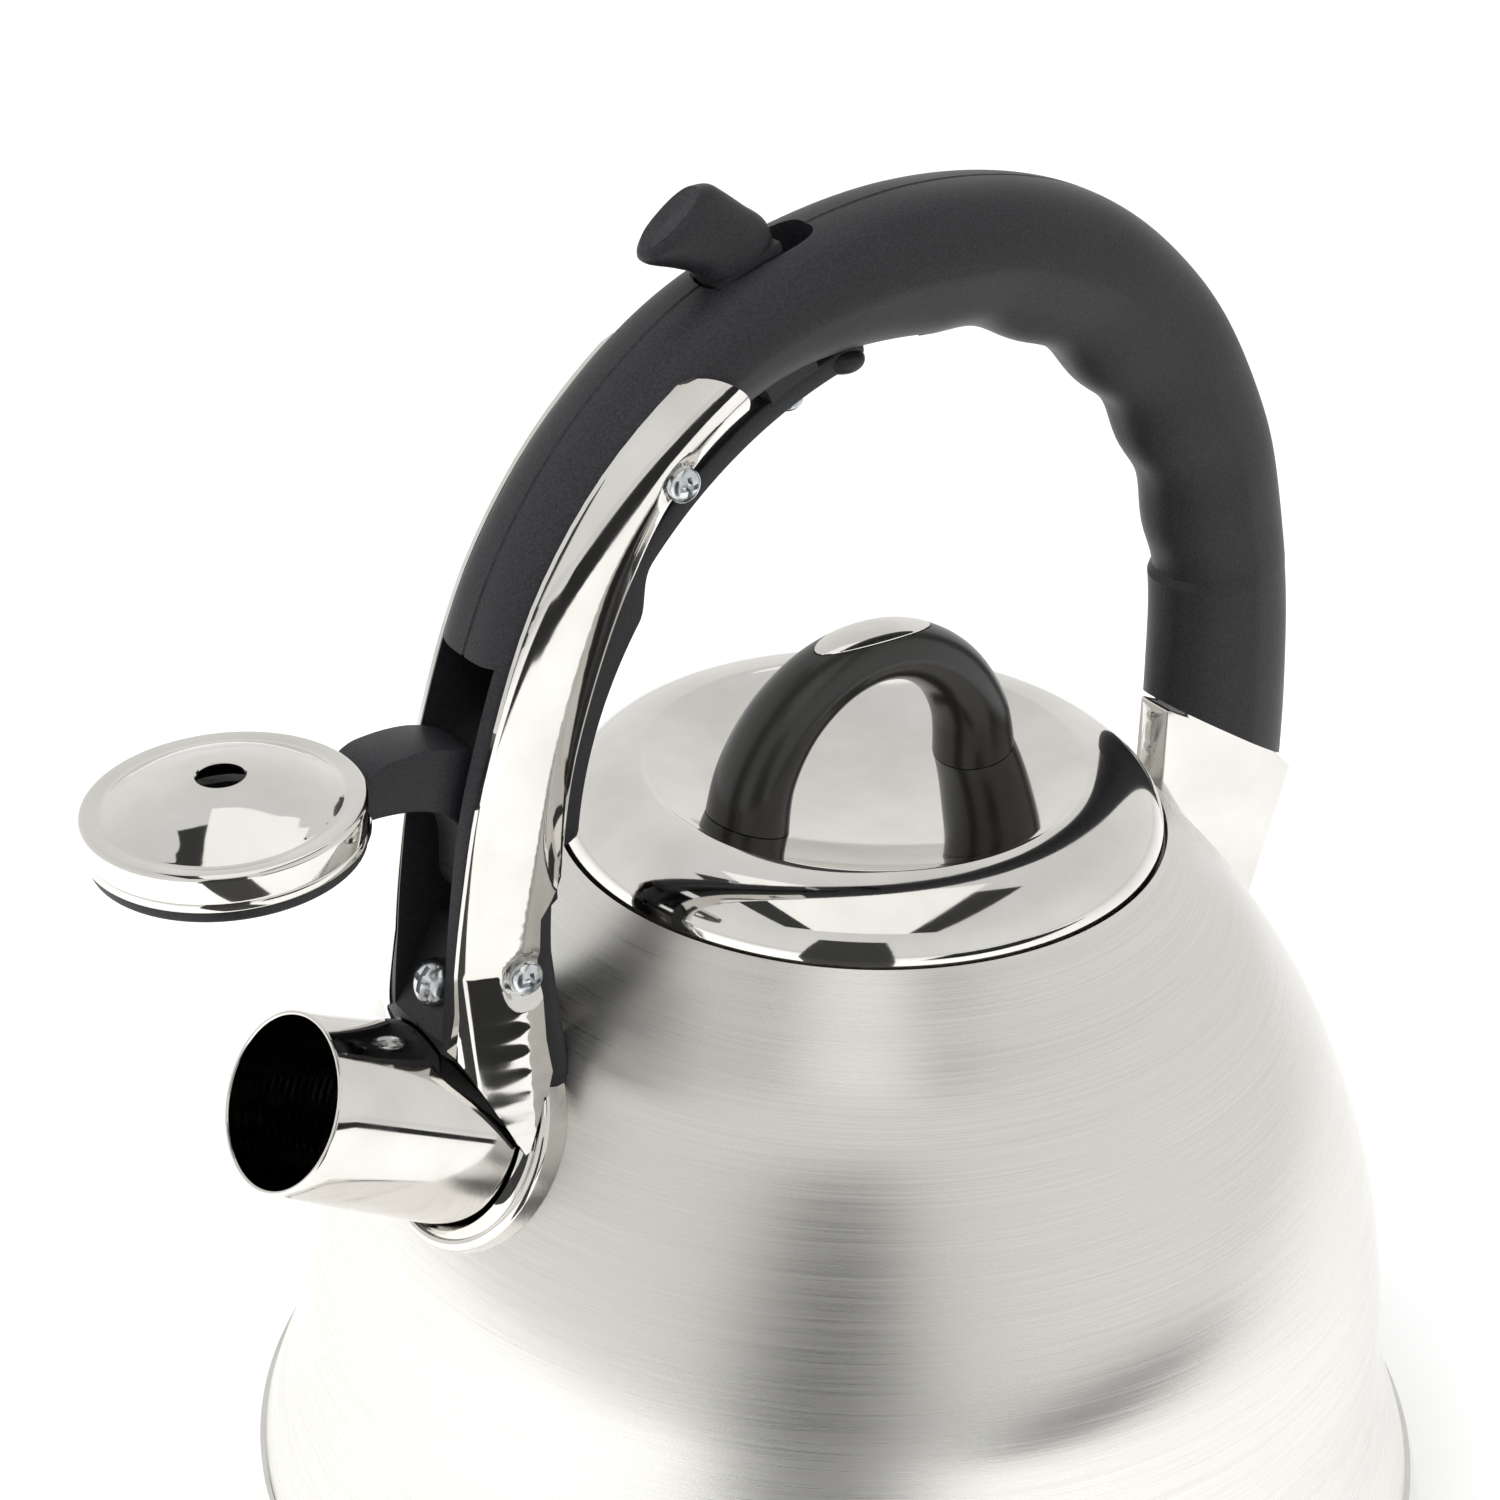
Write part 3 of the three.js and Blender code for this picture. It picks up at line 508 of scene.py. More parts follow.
@dataclass(frozen=True)
class BrushedStainless:
    """Stainless steel brushed round the body with a fine belt: soft bright bands that run up and down."""

    name: str = "stainless steel, brushed round"
    colour: str = "#e2e0dc"
    shadow: str = "#d3d1cc"
    line_mm: float = 0.34  # spacing of the brush lines; the real 0.1 mm lines are too fine to show
    rough_low: float = 0.25
    rough_high: float = 0.31
    anisotropy: float = 0.82
    streaks: float = 26.0  # brush streaks in a metre round the body
    cloud: float = 22.0  # patches of heavier brushing in a metre

    def build(self) -> bpy.types.Material:
        """The material, with brush lines that follow the turned profile."""
        material, tree = blank_material(self.name)
        coords = add(tree, "ShaderNodeTexCoord").outputs["Object"]
        split = add(tree, "ShaderNodeSeparateXYZ", links={0: coords})
        flat = add(tree, "ShaderNodeCombineXYZ", links={"X": split.outputs["X"], "Y": split.outputs["Y"]})
        radius = add(tree, "ShaderNodeVectorMath", {"operation": "LENGTH"}, links={0: flat.outputs[0]})
        down = add(
            tree,
            "ShaderNodeMath",
            {"operation": "SUBTRACT"},
            links={0: split.outputs["Z"], 1: radius.outputs["Value"]},
        )
        pitch = {1: 1000 / self.line_mm}
        fine = add(tree, "ShaderNodeMath", {"operation": "MULTIPLY"}, pitch, {0: down.outputs[0]})
        streak = {"Scale": self.streaks}
        around = add(tree, "ShaderNodeVectorMath", {"operation": "SCALE"}, streak, {0: flat.outputs[0]})
        parts = add(tree, "ShaderNodeSeparateXYZ", links={0: around.outputs[0]})
        lines = add(
            tree,
            "ShaderNodeCombineXYZ",
            links={"X": parts.outputs["X"], "Y": parts.outputs["Y"], "Z": fine.outputs[0]},
        )
        uneven = {"Scale": 1.0, "Detail": 3.0, "Roughness": 0.65}
        brush = add(tree, "ShaderNodeTexNoise", {}, uneven, {"Vector": lines.outputs[0]}).outputs["Fac"]
        broad = {"Scale": self.cloud, "Detail": 2.0}
        cloud = add(tree, "ShaderNodeTexNoise", {}, broad, {"Vector": coords}).outputs["Fac"]
        blend = add(tree, "ShaderNodeMath", {"operation": "MULTIPLY"}, {}, {0: brush, 1: cloud}).outputs[0]
        rough = add(
            tree,
            "ShaderNodeMapRange",
            {},
            {"From Min": 0.12, "From Max": 0.4, "To Min": self.rough_low, "To Max": self.rough_high},
            {"Value": blend},
        ).outputs["Result"]
        tangent = add(tree, "ShaderNodeTangent", {"direction_type": "RADIAL", "axis": "Z"})
        close_tree(
            tree,
            (self.shadow, self.colour, brush),
            (0.1, SCRATCH, brush),
            rough,
            {"Metallic": 1.0, "Anisotropic": self.anisotropy},
            {"Tangent": tangent.outputs["Tangent"]},
        )
        return material


@dataclass(frozen=True)
class SmoothMetal:
    """Metal with an even finish: faint smudges and hairlines break up its reflections."""

    name: str
    colour: str
    stain: str
    rough_low: float
    rough_high: float
    smudge_mm: float = 14.0  # size of a cleaning smudge
    hairline_mm: float = 0.35  # width of a wiping hairline, drawn wider than the real 0.05 mm
    depth: float = 0.06

    def build(self) -> bpy.types.Material:
        """The material, with smudges in its roughness and hairlines in its bump."""
        material, tree = blank_material(self.name)
        coords = add(tree, "ShaderNodeTexCoord").outputs["Object"]
        broad = {"Scale": 1000 / self.smudge_mm, "Detail": 4.0}
        smudge = add(tree, "ShaderNodeTexNoise", {}, broad, {"Vector": coords}).outputs["Fac"]
        stretch = add(
            tree,
            "ShaderNodeMapping",
            {},
            {"Rotation": (0.3, 0.5, 0.7), "Scale": (40.0, 1000 / self.hairline_mm, 40.0)},
            {"Vector": coords},
        ).outputs[0]
        fine = {"Scale": 1.0, "Detail": 2.0}
        hair = add(tree, "ShaderNodeTexNoise", {}, fine, {"Vector": stretch}).outputs["Fac"]
        rough = ramp(tree, smudge, self.rough_low, self.rough_high)
        tint = (self.colour, self.stain, smudge)
        close_tree(tree, tint, (self.depth, SCRATCH, hair), rough, {"Metallic": 1.0})
        return material


@dataclass(frozen=True)
class MouldedPlastic:
    """Moulded plastic: the grain of its mould shows in its bump and as a fine speckle in its colour, whose
    lighter specks are partly grain tone and partly painted glints.
    """

    name: str
    colour: str
    # lighter colour of the grain's specks: partly the grain's own tone, and on the nylon also a painted glint
    light: str
    rough_low: float
    rough_high: float
    grain_mm: float
    depth: float
    coat: float = 0.0
    gloss: float = 0.5
    patches: float = 30.0  # duller patches in a metre

    def build(self) -> bpy.types.Material:
        """The material, with its mould grain in bump and colour, the lighter specks partly painted glints,
        and duller patches in its roughness.
        """
        material, tree = blank_material(self.name)
        coords = add(tree, "ShaderNodeTexCoord").outputs["Object"]
        grain = add(
            tree,
            "ShaderNodeTexNoise",
            {},
            {"Scale": 1000 / self.grain_mm, "Detail": 2.0, "Roughness": 0.6},
            {"Vector": coords},
        ).outputs["Fac"]
        broad = {"Scale": self.patches, "Detail": 3.0}
        patch = add(tree, "ShaderNodeTexNoise", {}, broad, {"Vector": coords}).outputs["Fac"]
        rough = ramp(tree, patch, self.rough_low, self.rough_high)
        # the grain mixes in the lighter colour: specks that are partly painted glints
        tint, relief = (self.colour, self.light, grain), (0.6, self.depth / 1000, grain)
        coat = {"Coat Weight": self.coat, "Coat Roughness": 0.12}
        values = {**coat, "IOR": 1.5, "Specular IOR Level": self.gloss}
        close_tree(tree, tint, relief, rough, values)
        return material


class Finish(Enum):
    """Finishes of the kettle, each with the record's slot and its recipe."""

    BRUSHED = ("brushed", BrushedStainless())
    POLISHED = (
        "mirror",
        SmoothMetal("stainless steel, mirror polished", "#dedcd8", "#d2cfca", 0.035, 0.085),
    )
    SATIN = (
        "brushed",
        SmoothMetal("stainless steel, as rolled", "#cfcdc8", "#bdbbb6", 0.28, 0.4, 9.0, 0.3, 0.3),
    )
    ALUMINIUM = (
        "aluminium",
        SmoothMetal("aluminium, rolled plate", "#c9cbcd", "#b9bbbe", 0.38, 0.5, 9.0, 0.4, 0.35),
    )
    ZINC = (
        "zinc",
        SmoothMetal("steel, zinc plated", "#d9dcdd", "#b9bfc4", 0.14, 0.3, 1.6, 0.3, 0.2),
    )
    NYLON = (
        "plastic",
        # its second, lighter colour paints glints on the grain's specks
        MouldedPlastic("nylon, spark-eroded mould", "#131315", "#242428", 0.4, 0.5, 0.42, 0.085, 0.0, 0.3),
    )
    PHENOLIC = (
        "knob",
        MouldedPlastic("phenolic, smooth moulded", "#141312", "#1b1917", 0.3, 0.4, 0.5, 0.006, 0.15),
    )

    def __init__(self, slot: str, recipe: BrushedStainless | SmoothMetal | MouldedPlastic) -> None:
        """Keeps the slot and the recipe, and makes the material when it is first asked for."""
        self.slot = slot
        self.recipe = recipe

    @property
    def material(self) -> bpy.types.Material:
        """The finish's material, made once."""
        return bpy.data.materials.get(self.recipe.name) or self.recipe.build()


def settle(obj: Piece, body: Body, finish: Finish, *nodes: str) -> Piece:
    """Dresses a finished piece and ties it to the model.

    Args:
        obj: the piece, at the origin.
        body: the body that it rides on.
        finish: its finish.
        nodes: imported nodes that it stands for.

    Returns:
        The piece.
    """
    obj.data.materials.clear()
    obj.data.materials.append(finish.material)
    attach(obj, body.value)
    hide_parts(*nodes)
    log.info("%s: %d faces, stands for %s", obj.name, len(obj.data.polygons), ", ".join(nodes))
    return obj


def keep_node(node: str, finish: Finish) -> None:
    """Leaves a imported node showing, in a finish of its own."""
    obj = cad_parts[node]
    obj.data.materials.clear()
    obj.data.materials.append(finish.material)
    log.info("%s: kept, %s", node, finish.recipe.name)


# ---------- screws ----------
@dataclass
class PanHeadScrews:
    """Cross-recess pan-head screws of one size, set by a node tree on the points of a mesh."""

    head_radius: float
    head_rise: float
    shank_radius: float
    shank_length: float
    RECESS_SPAN: ClassVar[float] = 1.15  # recess arm's length as a share of the head's radius
    RECESS_WIDTH: ClassVar[float] = 0.27  # and its width
    TREE: ClassVar[str] = "pan head screws"
    SIZES: ClassVar[tuple[str, ...]] = ("Head radius", "Head rise", "Shank radius", "Shank length")

    def tree(self) -> Tree:
        """Node tree that puts a screw on every point, along the point's axis attribute."""
        tree = bpy.data.node_groups.get(self.TREE)
        if tree:
            return tree
        tree = bpy.data.node_groups.new(self.TREE, "GeometryNodeTree")
        tree.interface.new_socket("Geometry", in_out="INPUT", socket_type="NodeSocketGeometry")
        for size in self.SIZES:
            tree.interface.new_socket(size, in_out="INPUT", socket_type="NodeSocketFloat")
        tree.interface.new_socket("Material", in_out="INPUT", socket_type="NodeSocketMaterial")
        tree.interface.new_socket("Geometry", in_out="OUTPUT", socket_type="NodeSocketGeometry")
        given = add(tree, "NodeGroupInput").outputs
        radius, rise = given["Head radius"], given["Head rise"]
        dome = add(tree, "GeometryNodeMeshUVSphere", {}, {"Segments": 32, "Rings": 20, "Radius": 1.0})
        flat = add(tree, "ShaderNodeCombineXYZ", links={"X": radius, "Y": radius, "Z": rise})
        dome_links = {"Geometry": dome.outputs[0], "Scale": flat.outputs[0]}
        head = add(tree, "GeometryNodeTransform", links=dome_links)
        times = {"operation": "MULTIPLY"}
        long = add(tree, "ShaderNodeMath", times, {1: self.RECESS_SPAN}, {0: radius}).outputs[0]
        thin = add(tree, "ShaderNodeMath", times, {1: self.RECESS_WIDTH}, {0: radius}).outputs[0]
        top = add(tree, "ShaderNodeCombineXYZ", links={"Z": rise}).outputs[0]
        arms = []
        for x, y in ((long, thin), (thin, long)):
            size = add(tree, "ShaderNodeCombineXYZ", links={"X": x, "Y": y, "Z": rise}).outputs[0]
            arm = add(tree, "GeometryNodeMeshCube", links={"Size": size}).outputs[0]
            arms.append(add(tree, "GeometryNodeTransform", links={"Geometry": arm, "Translation": top}))
        recess = add(tree, "GeometryNodeMeshBoolean", {"operation": "DIFFERENCE", "solver": "EXACT"})
        tree.links.new(head.outputs[0], recess.inputs["Mesh 1"])
        for arm in arms:
            tree.links.new(arm.outputs[0], recess.inputs["Mesh 2"])
        shank = add(
            tree,
            "GeometryNodeMeshCylinder",
            {},
            {"Vertices": 24},
            {"Radius": given["Shank radius"], "Depth": given["Shank length"]},
        )
        half = add(tree, "ShaderNodeMath", {"operation": "MULTIPLY"}, {1: -0.5}, {0: given["Shank length"]})
        down = add(tree, "ShaderNodeCombineXYZ", links={"Z": half.outputs[0]}).outputs[0]
        stem = add(
            tree, "GeometryNodeTransform", links={"Geometry": shank.outputs["Mesh"], "Translation": down}
        )
        whole = add(tree, "GeometryNodeJoinGeometry")
        tree.links.new(recess.outputs[0], whole.inputs[0])
        tree.links.new(stem.outputs[0], whole.inputs[0])
        axis = add(tree, "GeometryNodeInputNamedAttribute", {"data_type": "FLOAT_VECTOR"}, {"Name": "axis"})
        turn = add(
            tree, "FunctionNodeAlignRotationToVector", {"axis": "Z"}, links={"Vector": axis.outputs[0]}
        ).outputs[0]
        set_on = add(
            tree,
            "GeometryNodeInstanceOnPoints",
            links={"Points": given["Geometry"], "Instance": whole.outputs[0], "Rotation": turn},
        )
        real = add(tree, "GeometryNodeRealizeInstances", links={"Geometry": set_on.outputs[0]})
        coated = {"Geometry": real.outputs[0], "Material": given["Material"]}
        done = add(tree, "GeometryNodeSetMaterial", links=coated)
        add(tree, "NodeGroupOutput", links={0: done.outputs[0]})
        return tree

    def make(self, name: str, points: Sequence[Sequence[float]], axes: Sequence[Sequence[float]]) -> Piece:
        """Screws at given places.

        Args:
            name: name of the object.
            points: where the underside of each head is, in millimetres.
            axes: direction that each head faces.

        Returns:
            One object with all the screws.
        """
        mesh = bpy.data.meshes.new(name)
        mesh.from_pydata([tuple(c / 1000 for c in p) for p in points], [], [])
        attribute = mesh.attributes.new("axis", "FLOAT_VECTOR", "POINT")
        attribute.data.foreach_set("vector", [c for a in axes for c in Vector(a).normalized()])
        obj = bpy.data.objects.new(name, mesh)
        bpy.context.scene.collection.objects.link(obj)
        modifier = obj.modifiers.new("screws", "NODES")
        tree = self.tree()
        lengths = (self.head_radius, self.head_rise, self.shank_radius, self.shank_length)
        sizes = dict(zip(self.SIZES, lengths))
        modifier.node_group = tree
        for item in tree.interface.items_tree:
            if item.in_out == "INPUT" and item.name in sizes:
                modifier[item.identifier] = sizes[item.name] / 1000
            elif item.in_out == "INPUT" and item.name == "Material":
                modifier[item.identifier] = Finish.ZINC.material
        return shade(bake(obj))


# ---------- body, base and spout ----------
def along_spout(obj: Piece) -> Piece:
    """Moves a shape from +Z at the origin to the spout's axis at its mouth."""
    return place(obj, TILT - math.pi / 2, MOUTH)


@dataclass
class KettleBody:
    """Brushed shell, polished base pan, base cap and the disc sealed under the floor."""

    wall: float = 0.9
    rim_radius: float = 51.5
    neck_radius: float = 46.6
    neck_depth: float = 9.0
    ledge_drop: float = 1.6
    cap_radius: float = 97.0
    floor_z: float = 7.4
    pan_foot: Pair = (101.5, 4.2)
    DOME: ClassVar[list[Pair]] = [
        (51.5, 0),
        (58.6, -7.9),
        (70.3, -21.6),
        (82.5, -41.3),
        (91.4, -63.8),
        (95.5, -83.5),
        (96.9, -98.2),
    ]
    FLARE: ClassVar[list[Pair]] = [(96.9, 55.8), (99.1, 43.8), (102.2, 36.8), (104.6, SEAM_Z)]
    BAND: ClassVar[list[Pair]] = [(105.5, 29.5), (107.2, 23.8), (107.8, 18), (106, 9), (101.5, 4.2)]

    def outline(self, grow: float, steps: int = 90) -> list[Pair]:
        """Shell's outside from rim to seam, moved outwards by grow."""
        dome = through([(r + grow, RIM + z) for r, z in self.DOME], steps)
        flare = through([(r + grow, z) for r, z in self.FLARE], steps // 3)
        return dome + flare[1:]

    def bulk(self, grow: float) -> Piece:
        """Solid that fills the shell's outside, to scribe the pieces that stand on it."""
        return lathe("bulk", [(0, RIM + grow), *self.outline(grow, 45), (0, SEAM_Z)], 144)

    def build(self) -> None:
        """Makes the shell, pan, cap and disc."""
        ledge = RIM - self.ledge_drop
        inside = [p for p in self.outline(-self.wall) if p[1] < ledge - 2 * self.wall]
        neck = self.neck_radius
        section = [
            *self.outline(0),
            *reversed(inside),
            (self.rim_radius, ledge - self.wall),
            (neck + self.wall, ledge - self.wall),
            (neck + self.wall, RIM - self.neck_depth),
            (neck, RIM - self.neck_depth),
            (neck, ledge),
            (self.rim_radius - 0.3, ledge),
        ]
        shell = carve(lathe("body_shell_brushed", section), Cut.SUBTRACT, Spout().bulk(GAP))
        settle(shade(shell), Body.KETTLE, Finish.BRUSHED, "body_shell")

        outer = through(self.BAND, 60)
        inner = [(r - 1.8, z) for r, z in outer if z > self.floor_z + 2]
        foot_r, foot_z = self.pan_foot
        recess = self.cap_radius + 0.5
        foot = rounded([(foot_r - 1.2, foot_z - 0.2), (recess, foot_z), (recess, 6.5)], 0.4)
        pan = [
            *outer,
            *foot[4:-6],
            (recess, self.floor_z - self.wall),
            (0, self.floor_z - self.wall),
            (0, self.floor_z),
            (foot_r - 1.5, self.floor_z),
            *reversed(inner),
        ]
        turned = lathe("base_pan_polished", self._from_axis(pan))
        settle(shade(turned), Body.KETTLE, Finish.POLISHED, "base_pan")

        top = self.floor_z - self.wall - GAP
        rim = self.cap_radius
        edge = arc((rim - 1.5, 1.5), 1.5, -90, 0, 6)
        rings = [p for k in range(1, 6) for p in self._groove(15.0 * k + 6)]
        inside = rim - self.wall
        cap = [(0, 0), *rings, *edge, (rim, top), (inside, top), (inside, self.wall), (0, self.wall)]
        settle(shade(lathe("base_cap_spun", cap)), Body.KETTLE, Finish.BRUSHED, "base_cap")
        keep_node("heat_spreader_disc", Finish.ALUMINIUM)

    @staticmethod
    def _groove(radius: float) -> list[Pair]:
        """Shallow spinning groove in the underside, at a radius."""
        return [(radius - 0.8, 0), (radius, 0.25), (radius + 0.8, 0)]

    @staticmethod
    def _from_axis(section: list[Pair]) -> list[Pair]:
        """Closed section turned so that it starts and ends on the axis."""
        start = next(i for i, p in enumerate(section) if p[0] == 0 and section[i - 1][0] == 0)
        return section[start:] + section[:start]


@dataclass
class Spout:
    """Short drawn spout and the beaded collar at its root."""

    mouth_radius: float = 14.3
    root_radius: float = 16.6
    length: float = 43.0
    wall: float = 0.8
    collar_radius: float = 20.0
    collar_start: float = 36.4
    ring_pitch: float = 1.5  # drawing rings inside the bore
    ring_depth: float = 0.035

    def bulk(self, grow: float) -> Piece:
        """Solid cone that fills the spout's outside."""
        back = -self.length - 4
        cone = [(0, back), (self.root_radius + grow, back), (self.mouth_radius + grow, 2), (0, 2)]
        return along_spout(lathe("bulk", cone, 96))

    def collar_bulk(self, grow: float) -> Piece:
        """Solid that fills the collar's outside and all behind it."""
        r, front, back = self.collar_radius + grow, grow - self.collar_start, -self.length - 4
        return along_spout(lathe("bulk", [(0, back), (r, back), (r, front), (0, front)], 96))

    def build(self) -> None:
        """Makes the spout and its collar."""
        steps = 150
        bore = []
        for k in range(steps + 1):
            z = -1.2 - (self.length - 1.2) * k / steps
            r = lerp(self.mouth_radius, self.root_radius, -z / self.length) - self.wall
            bore.append((r + self.ring_depth * math.sin(2 * math.pi * z / self.ring_pitch), z))
        lip = arc((self.mouth_radius - self.wall / 2, -self.wall / 2), self.wall / 2, 0, 180, 8)
        cone = (k / 12 for k in range(12))
        outer = [(lerp(self.root_radius, self.mouth_radius, t), -self.length * (1 - t)) for t in cone]
        tube = along_spout(lathe("spout_drawn", [*outer, *lip, *bore], 128))
        settle(shade(tube), Body.KETTLE, Finish.POLISHED, "spout")

        inside, back, start = self.root_radius + 0.2, -self.collar_start - 6, -self.collar_start
        bead = arc((self.collar_radius - 1.3, start - 1.3), 1.3, 110, 0, 10)
        fillet = [(inside, start + 1.4), (inside + 0.5, start + 0.4), (inside + 1.3, start - 0.35)]
        ring = [(inside, back), *fillet, (inside + 1.7, start - 0.45), *bead, (self.collar_radius, back)]
        collar = along_spout(lathe("spout_collar_beaded", ring, 128))
        carve(collar, Cut.SUBTRACT, KettleBody().bulk(0.05))
        settle(shade(collar), Body.KETTLE, Finish.POLISHED, "spout_collar")


# ---------- handle ----------
@dataclass
class Handle:
    """Arched grip with its window, slot, channel and finger grooves, its trim, brackets and screws."""

    stations: int = 200
    ring_points: int = 96
    hollow_half: float = 7.0
    channel_floor: float = 58.0  # radius well inside the arch, where the cuts for the bar begin
    grips: float = 4.5
    grip_depth: float = 1.3
    plate: float = 0.8
    dimple_floor: float = 3.4  # radius of the flat under the screw's head
    dimple_radius: float = 4.6
    dimple_depth: float = 0.5
    wrap: float = 7.6  # half width left open between the plates behind the leg
    TRIM_FOOT: ClassVar[list[Pair]] = [
        (-72.1, 8), (-72.4, -4.3), (-72.9, -12.2), (-72.4, -17.7), (-73.9, -20.7), (-75.3, -27),
        (-79.6, -29), (-88, -11.6),
    ]
    CROWN: ClassVar[list[Pair]] = [
        (-88, -34), (-88, -8), (-86.6, 14), (-83, 36), (-73.6, 63.5), (-57, 86), (-32.7, 102.2),
        (3, 109.3), (38, 103.2), (64, 84.5), (81.5, 57.5), (90, 28), (93.5, 2), (94.5, -20),
    ]
    ROOT: ClassVar[list[Pair]] = [
        (-64, -38), (-66.4, -10), (-66.6, 10), (-63, 32.6), (-52.4, 57.7), (-39.3, 75), (-21, 84.4),
        (3, 85), (27, 79), (46, 65), (58.5, 47), (65.5, 26), (67, 6), (67, -20),
    ]
    WINDOW: ClassVar[list[Pair]] = [
        (-100, -11), (-88, -11), (-79.6, 4), (-58, 4), (-58, 22), (-66, 30), (-66, 44), (-70, 53),
        (-80, 50.5), (-100, 50.5),
    ]
    REAR_END: ClassVar[list[Pair]] = [(60, 4.6), (67, 2.2), (100, -17.5), (110, -60), (60, -60)]
    FRONT_END: ClassVar[list[Pair]] = [
        (-87.2, -13), (-77, -30.5), (-60, -34), (-60, -80), (-110, -80), (-110, -13),
    ]
    FOOT_SPACE: ClassVar[list[Pair]] = [(-84.6, -13.4), (-77.4, 0.6), (-66, 0.6), (-60, -20), (-80, -25)]
    CREASE: ClassVar[list[Pair]] = [
        (-28, 95), (-36.2, 87.6), (-48.3, 78.7), (-58.6, 65.6), (-64.7, 52), (-69, 38), (-73, 20),
        (-75.5, 0), (-77, -31),
    ]
    TRIM_SCREWS: ClassVar[dict[str, tuple[float, float, float]]] = {
        "upper": (-46.9, RIM + 75.3, 12.3),
        "lower": (-75.2, RIM - 1.2, 12.0),
    }
    BRACKET_SCREW: ClassVar[Pair] = (-84.6, RIM - 4.4)
    # Space for the bar's tongue, the bar and its trigger: outer radius, two angles in degrees, half width.
    CHANNEL: ClassVar[list[tuple[float, float, float, float]]] = [
        (81.2, 196, 168.7, 3.0), (79.5, 190, 93.7, 3.0), (79.5, 111, 95.5, 4.7),
    ]

    def lines(self, steps: int, end: float = 1.0) -> tuple[list[Vector], list[Vector]]:
        """Crown and root lines of the arch, with the finger grooves in the root.

        Args:
            steps: intervals from the front foot to the end.
            end: share of the arch that the lines cover.

        Returns:
            The crown and root points.
        """
        whole = round(steps / end)
        crown = [Vector(p) for p in through(from_rim(self.CROWN), whole)[: steps + 1]]
        root = [Vector(p) for p in through(from_rim(self.ROOT), whole)[: steps + 1]]
        for i, point in enumerate(root):
            along = (i / whole - 0.545) / 0.3
            if 0 <= along <= 1:
                lift = self.grip_depth * math.sin(math.pi * self.grips * along) ** 2
                root[i] = point + (crown[i] - point).normalized() * lift
        return crown, root

    def arch(self, grow: float, steps: int, count: int, end: float = 1.0, parting: float = 0.0) -> Piece:
        """The arch, or its front part, as a solid.

        Args:
            grow: distance that its skin is moved outwards.
            steps: intervals along it.
            count: points round it.
            end: share of the arch that is made.
            parting: depth of the mould's parting groove along the crown.

        Returns:
            The closed arch.
        """
        crown, root = self.lines(steps, end)
        rings = []
        for i in range(steps + 1):
            t = i / steps * end
            rounding = smoothstep(t, 0.15, 0.38)
            power, taper = lerp(4.4, 2.5, rounding), lerp(0.08, 0.3, rounding)
            flare = min(1.0, max(0.0, (RIM + 2 - crown[i].y) / 30))
            half = lerp(10 + (6.5 * flare if t < 0.3 else 0), 11.5, smoothstep(t, 0.2, 0.42))
            middle = (crown[i] + root[i]) / 2
            depth = (crown[i] - middle).length + grow
            out = (crown[i] - middle).normalized()
            ring = []
            for k, (along, across) in enumerate(even_ring(power, depth, half + grow, taper, count)):
                if k == 0 and parting:
                    for step, dip in ((-0.4, 0.0), (-0.12, 1.0), (0.12, 1.0), (0.4, 0.0)):
                        spot = middle + out * (along - parting * dip)
                        ring.append(Vector((spot.x, step, spot.y)))
                    continue
                spot = middle + out * along
                ring.append(Vector((spot.x, across, spot.y)))
            rings.append(ring)
        return loft("arch", rings)

    def band(self, inner: float, outer: float, start: float, end: float, half: float) -> Piece:
        """Band between two radii about the slide bar's centre, over a range of angles."""
        outline = arc(BAR_CENTRE, outer, start, end, 24) + arc(BAR_CENTRE, inner, end, start, 24)
        return prism("band", outline, -half, half)

    def slot_cutter(self) -> Piece:
        """Slot for the thumb tab, with rounded ends seen from above."""
        half, front, rear, skin = 4.3, 117.8, 106.2, 104
        rings = []
        for radius in (77.0, 90.0, 100.0, 112.0):
            middle = math.radians((front + rear) / 2)
            reach = math.radians(front - rear) / 2 * skin
            ring = []
            for k in range(48):
                angle = 2 * math.pi * k / 48
                c, s = math.cos(angle), math.sin(angle)
                u = reach * squared(c, 3.4)
                v = half * squared(s, 3.4)
                turn = middle + u / skin
                x, z = radius * math.cos(turn), radius * math.sin(turn)
                ring.append(Vector((BAR_CENTRE[0] + x, v, BAR_CENTRE[1] + z)))
            rings.append(ring)
        return loft("slot", rings)

    def build(self) -> None:
        """Makes the grip, trim, brackets and screws."""
        rear_hole = lathe("bore", [(0, 88), (3.6, 88), (3.6, 99), (0, 99)], 48)
        rear_hole.data.transform(Matrix.Rotation(math.pi / 2, 4, "Y"))
        rear_hole.data.transform(Matrix.Translation((0, 0, (RIM + 8) / 1000)))
        shell = self.arch(0, self.stations, self.ring_points, parting=0.22)
        shell.name = "handle_grip"
        carve(
            shell,
            Cut.SUBTRACT,
            prism("end", rounded(from_rim(self.REAR_END), 1.0), -30, 30),
            prism("end", from_rim(self.FRONT_END), -30, 30),
            prism("window", rounded(from_rim(self.WINDOW), 1.6), -self.hollow_half, self.hollow_half),
            prism("foot", from_rim(self.FOOT_SPACE), -7.3, 7.3),
            *(self.band(self.channel_floor, *sizes) for sizes in self.CHANNEL),
            self.slot_cutter(),
            KettleBody().bulk(GAP),
            Spout().bulk(GAP + 0.1),
            Spout().collar_bulk(GAP),
            rear_hole,
        )
        settle(shade(shell, 28), Body.KETTLE, Finish.NYLON, "handle_shell")
        self.trim()
        self.brackets()

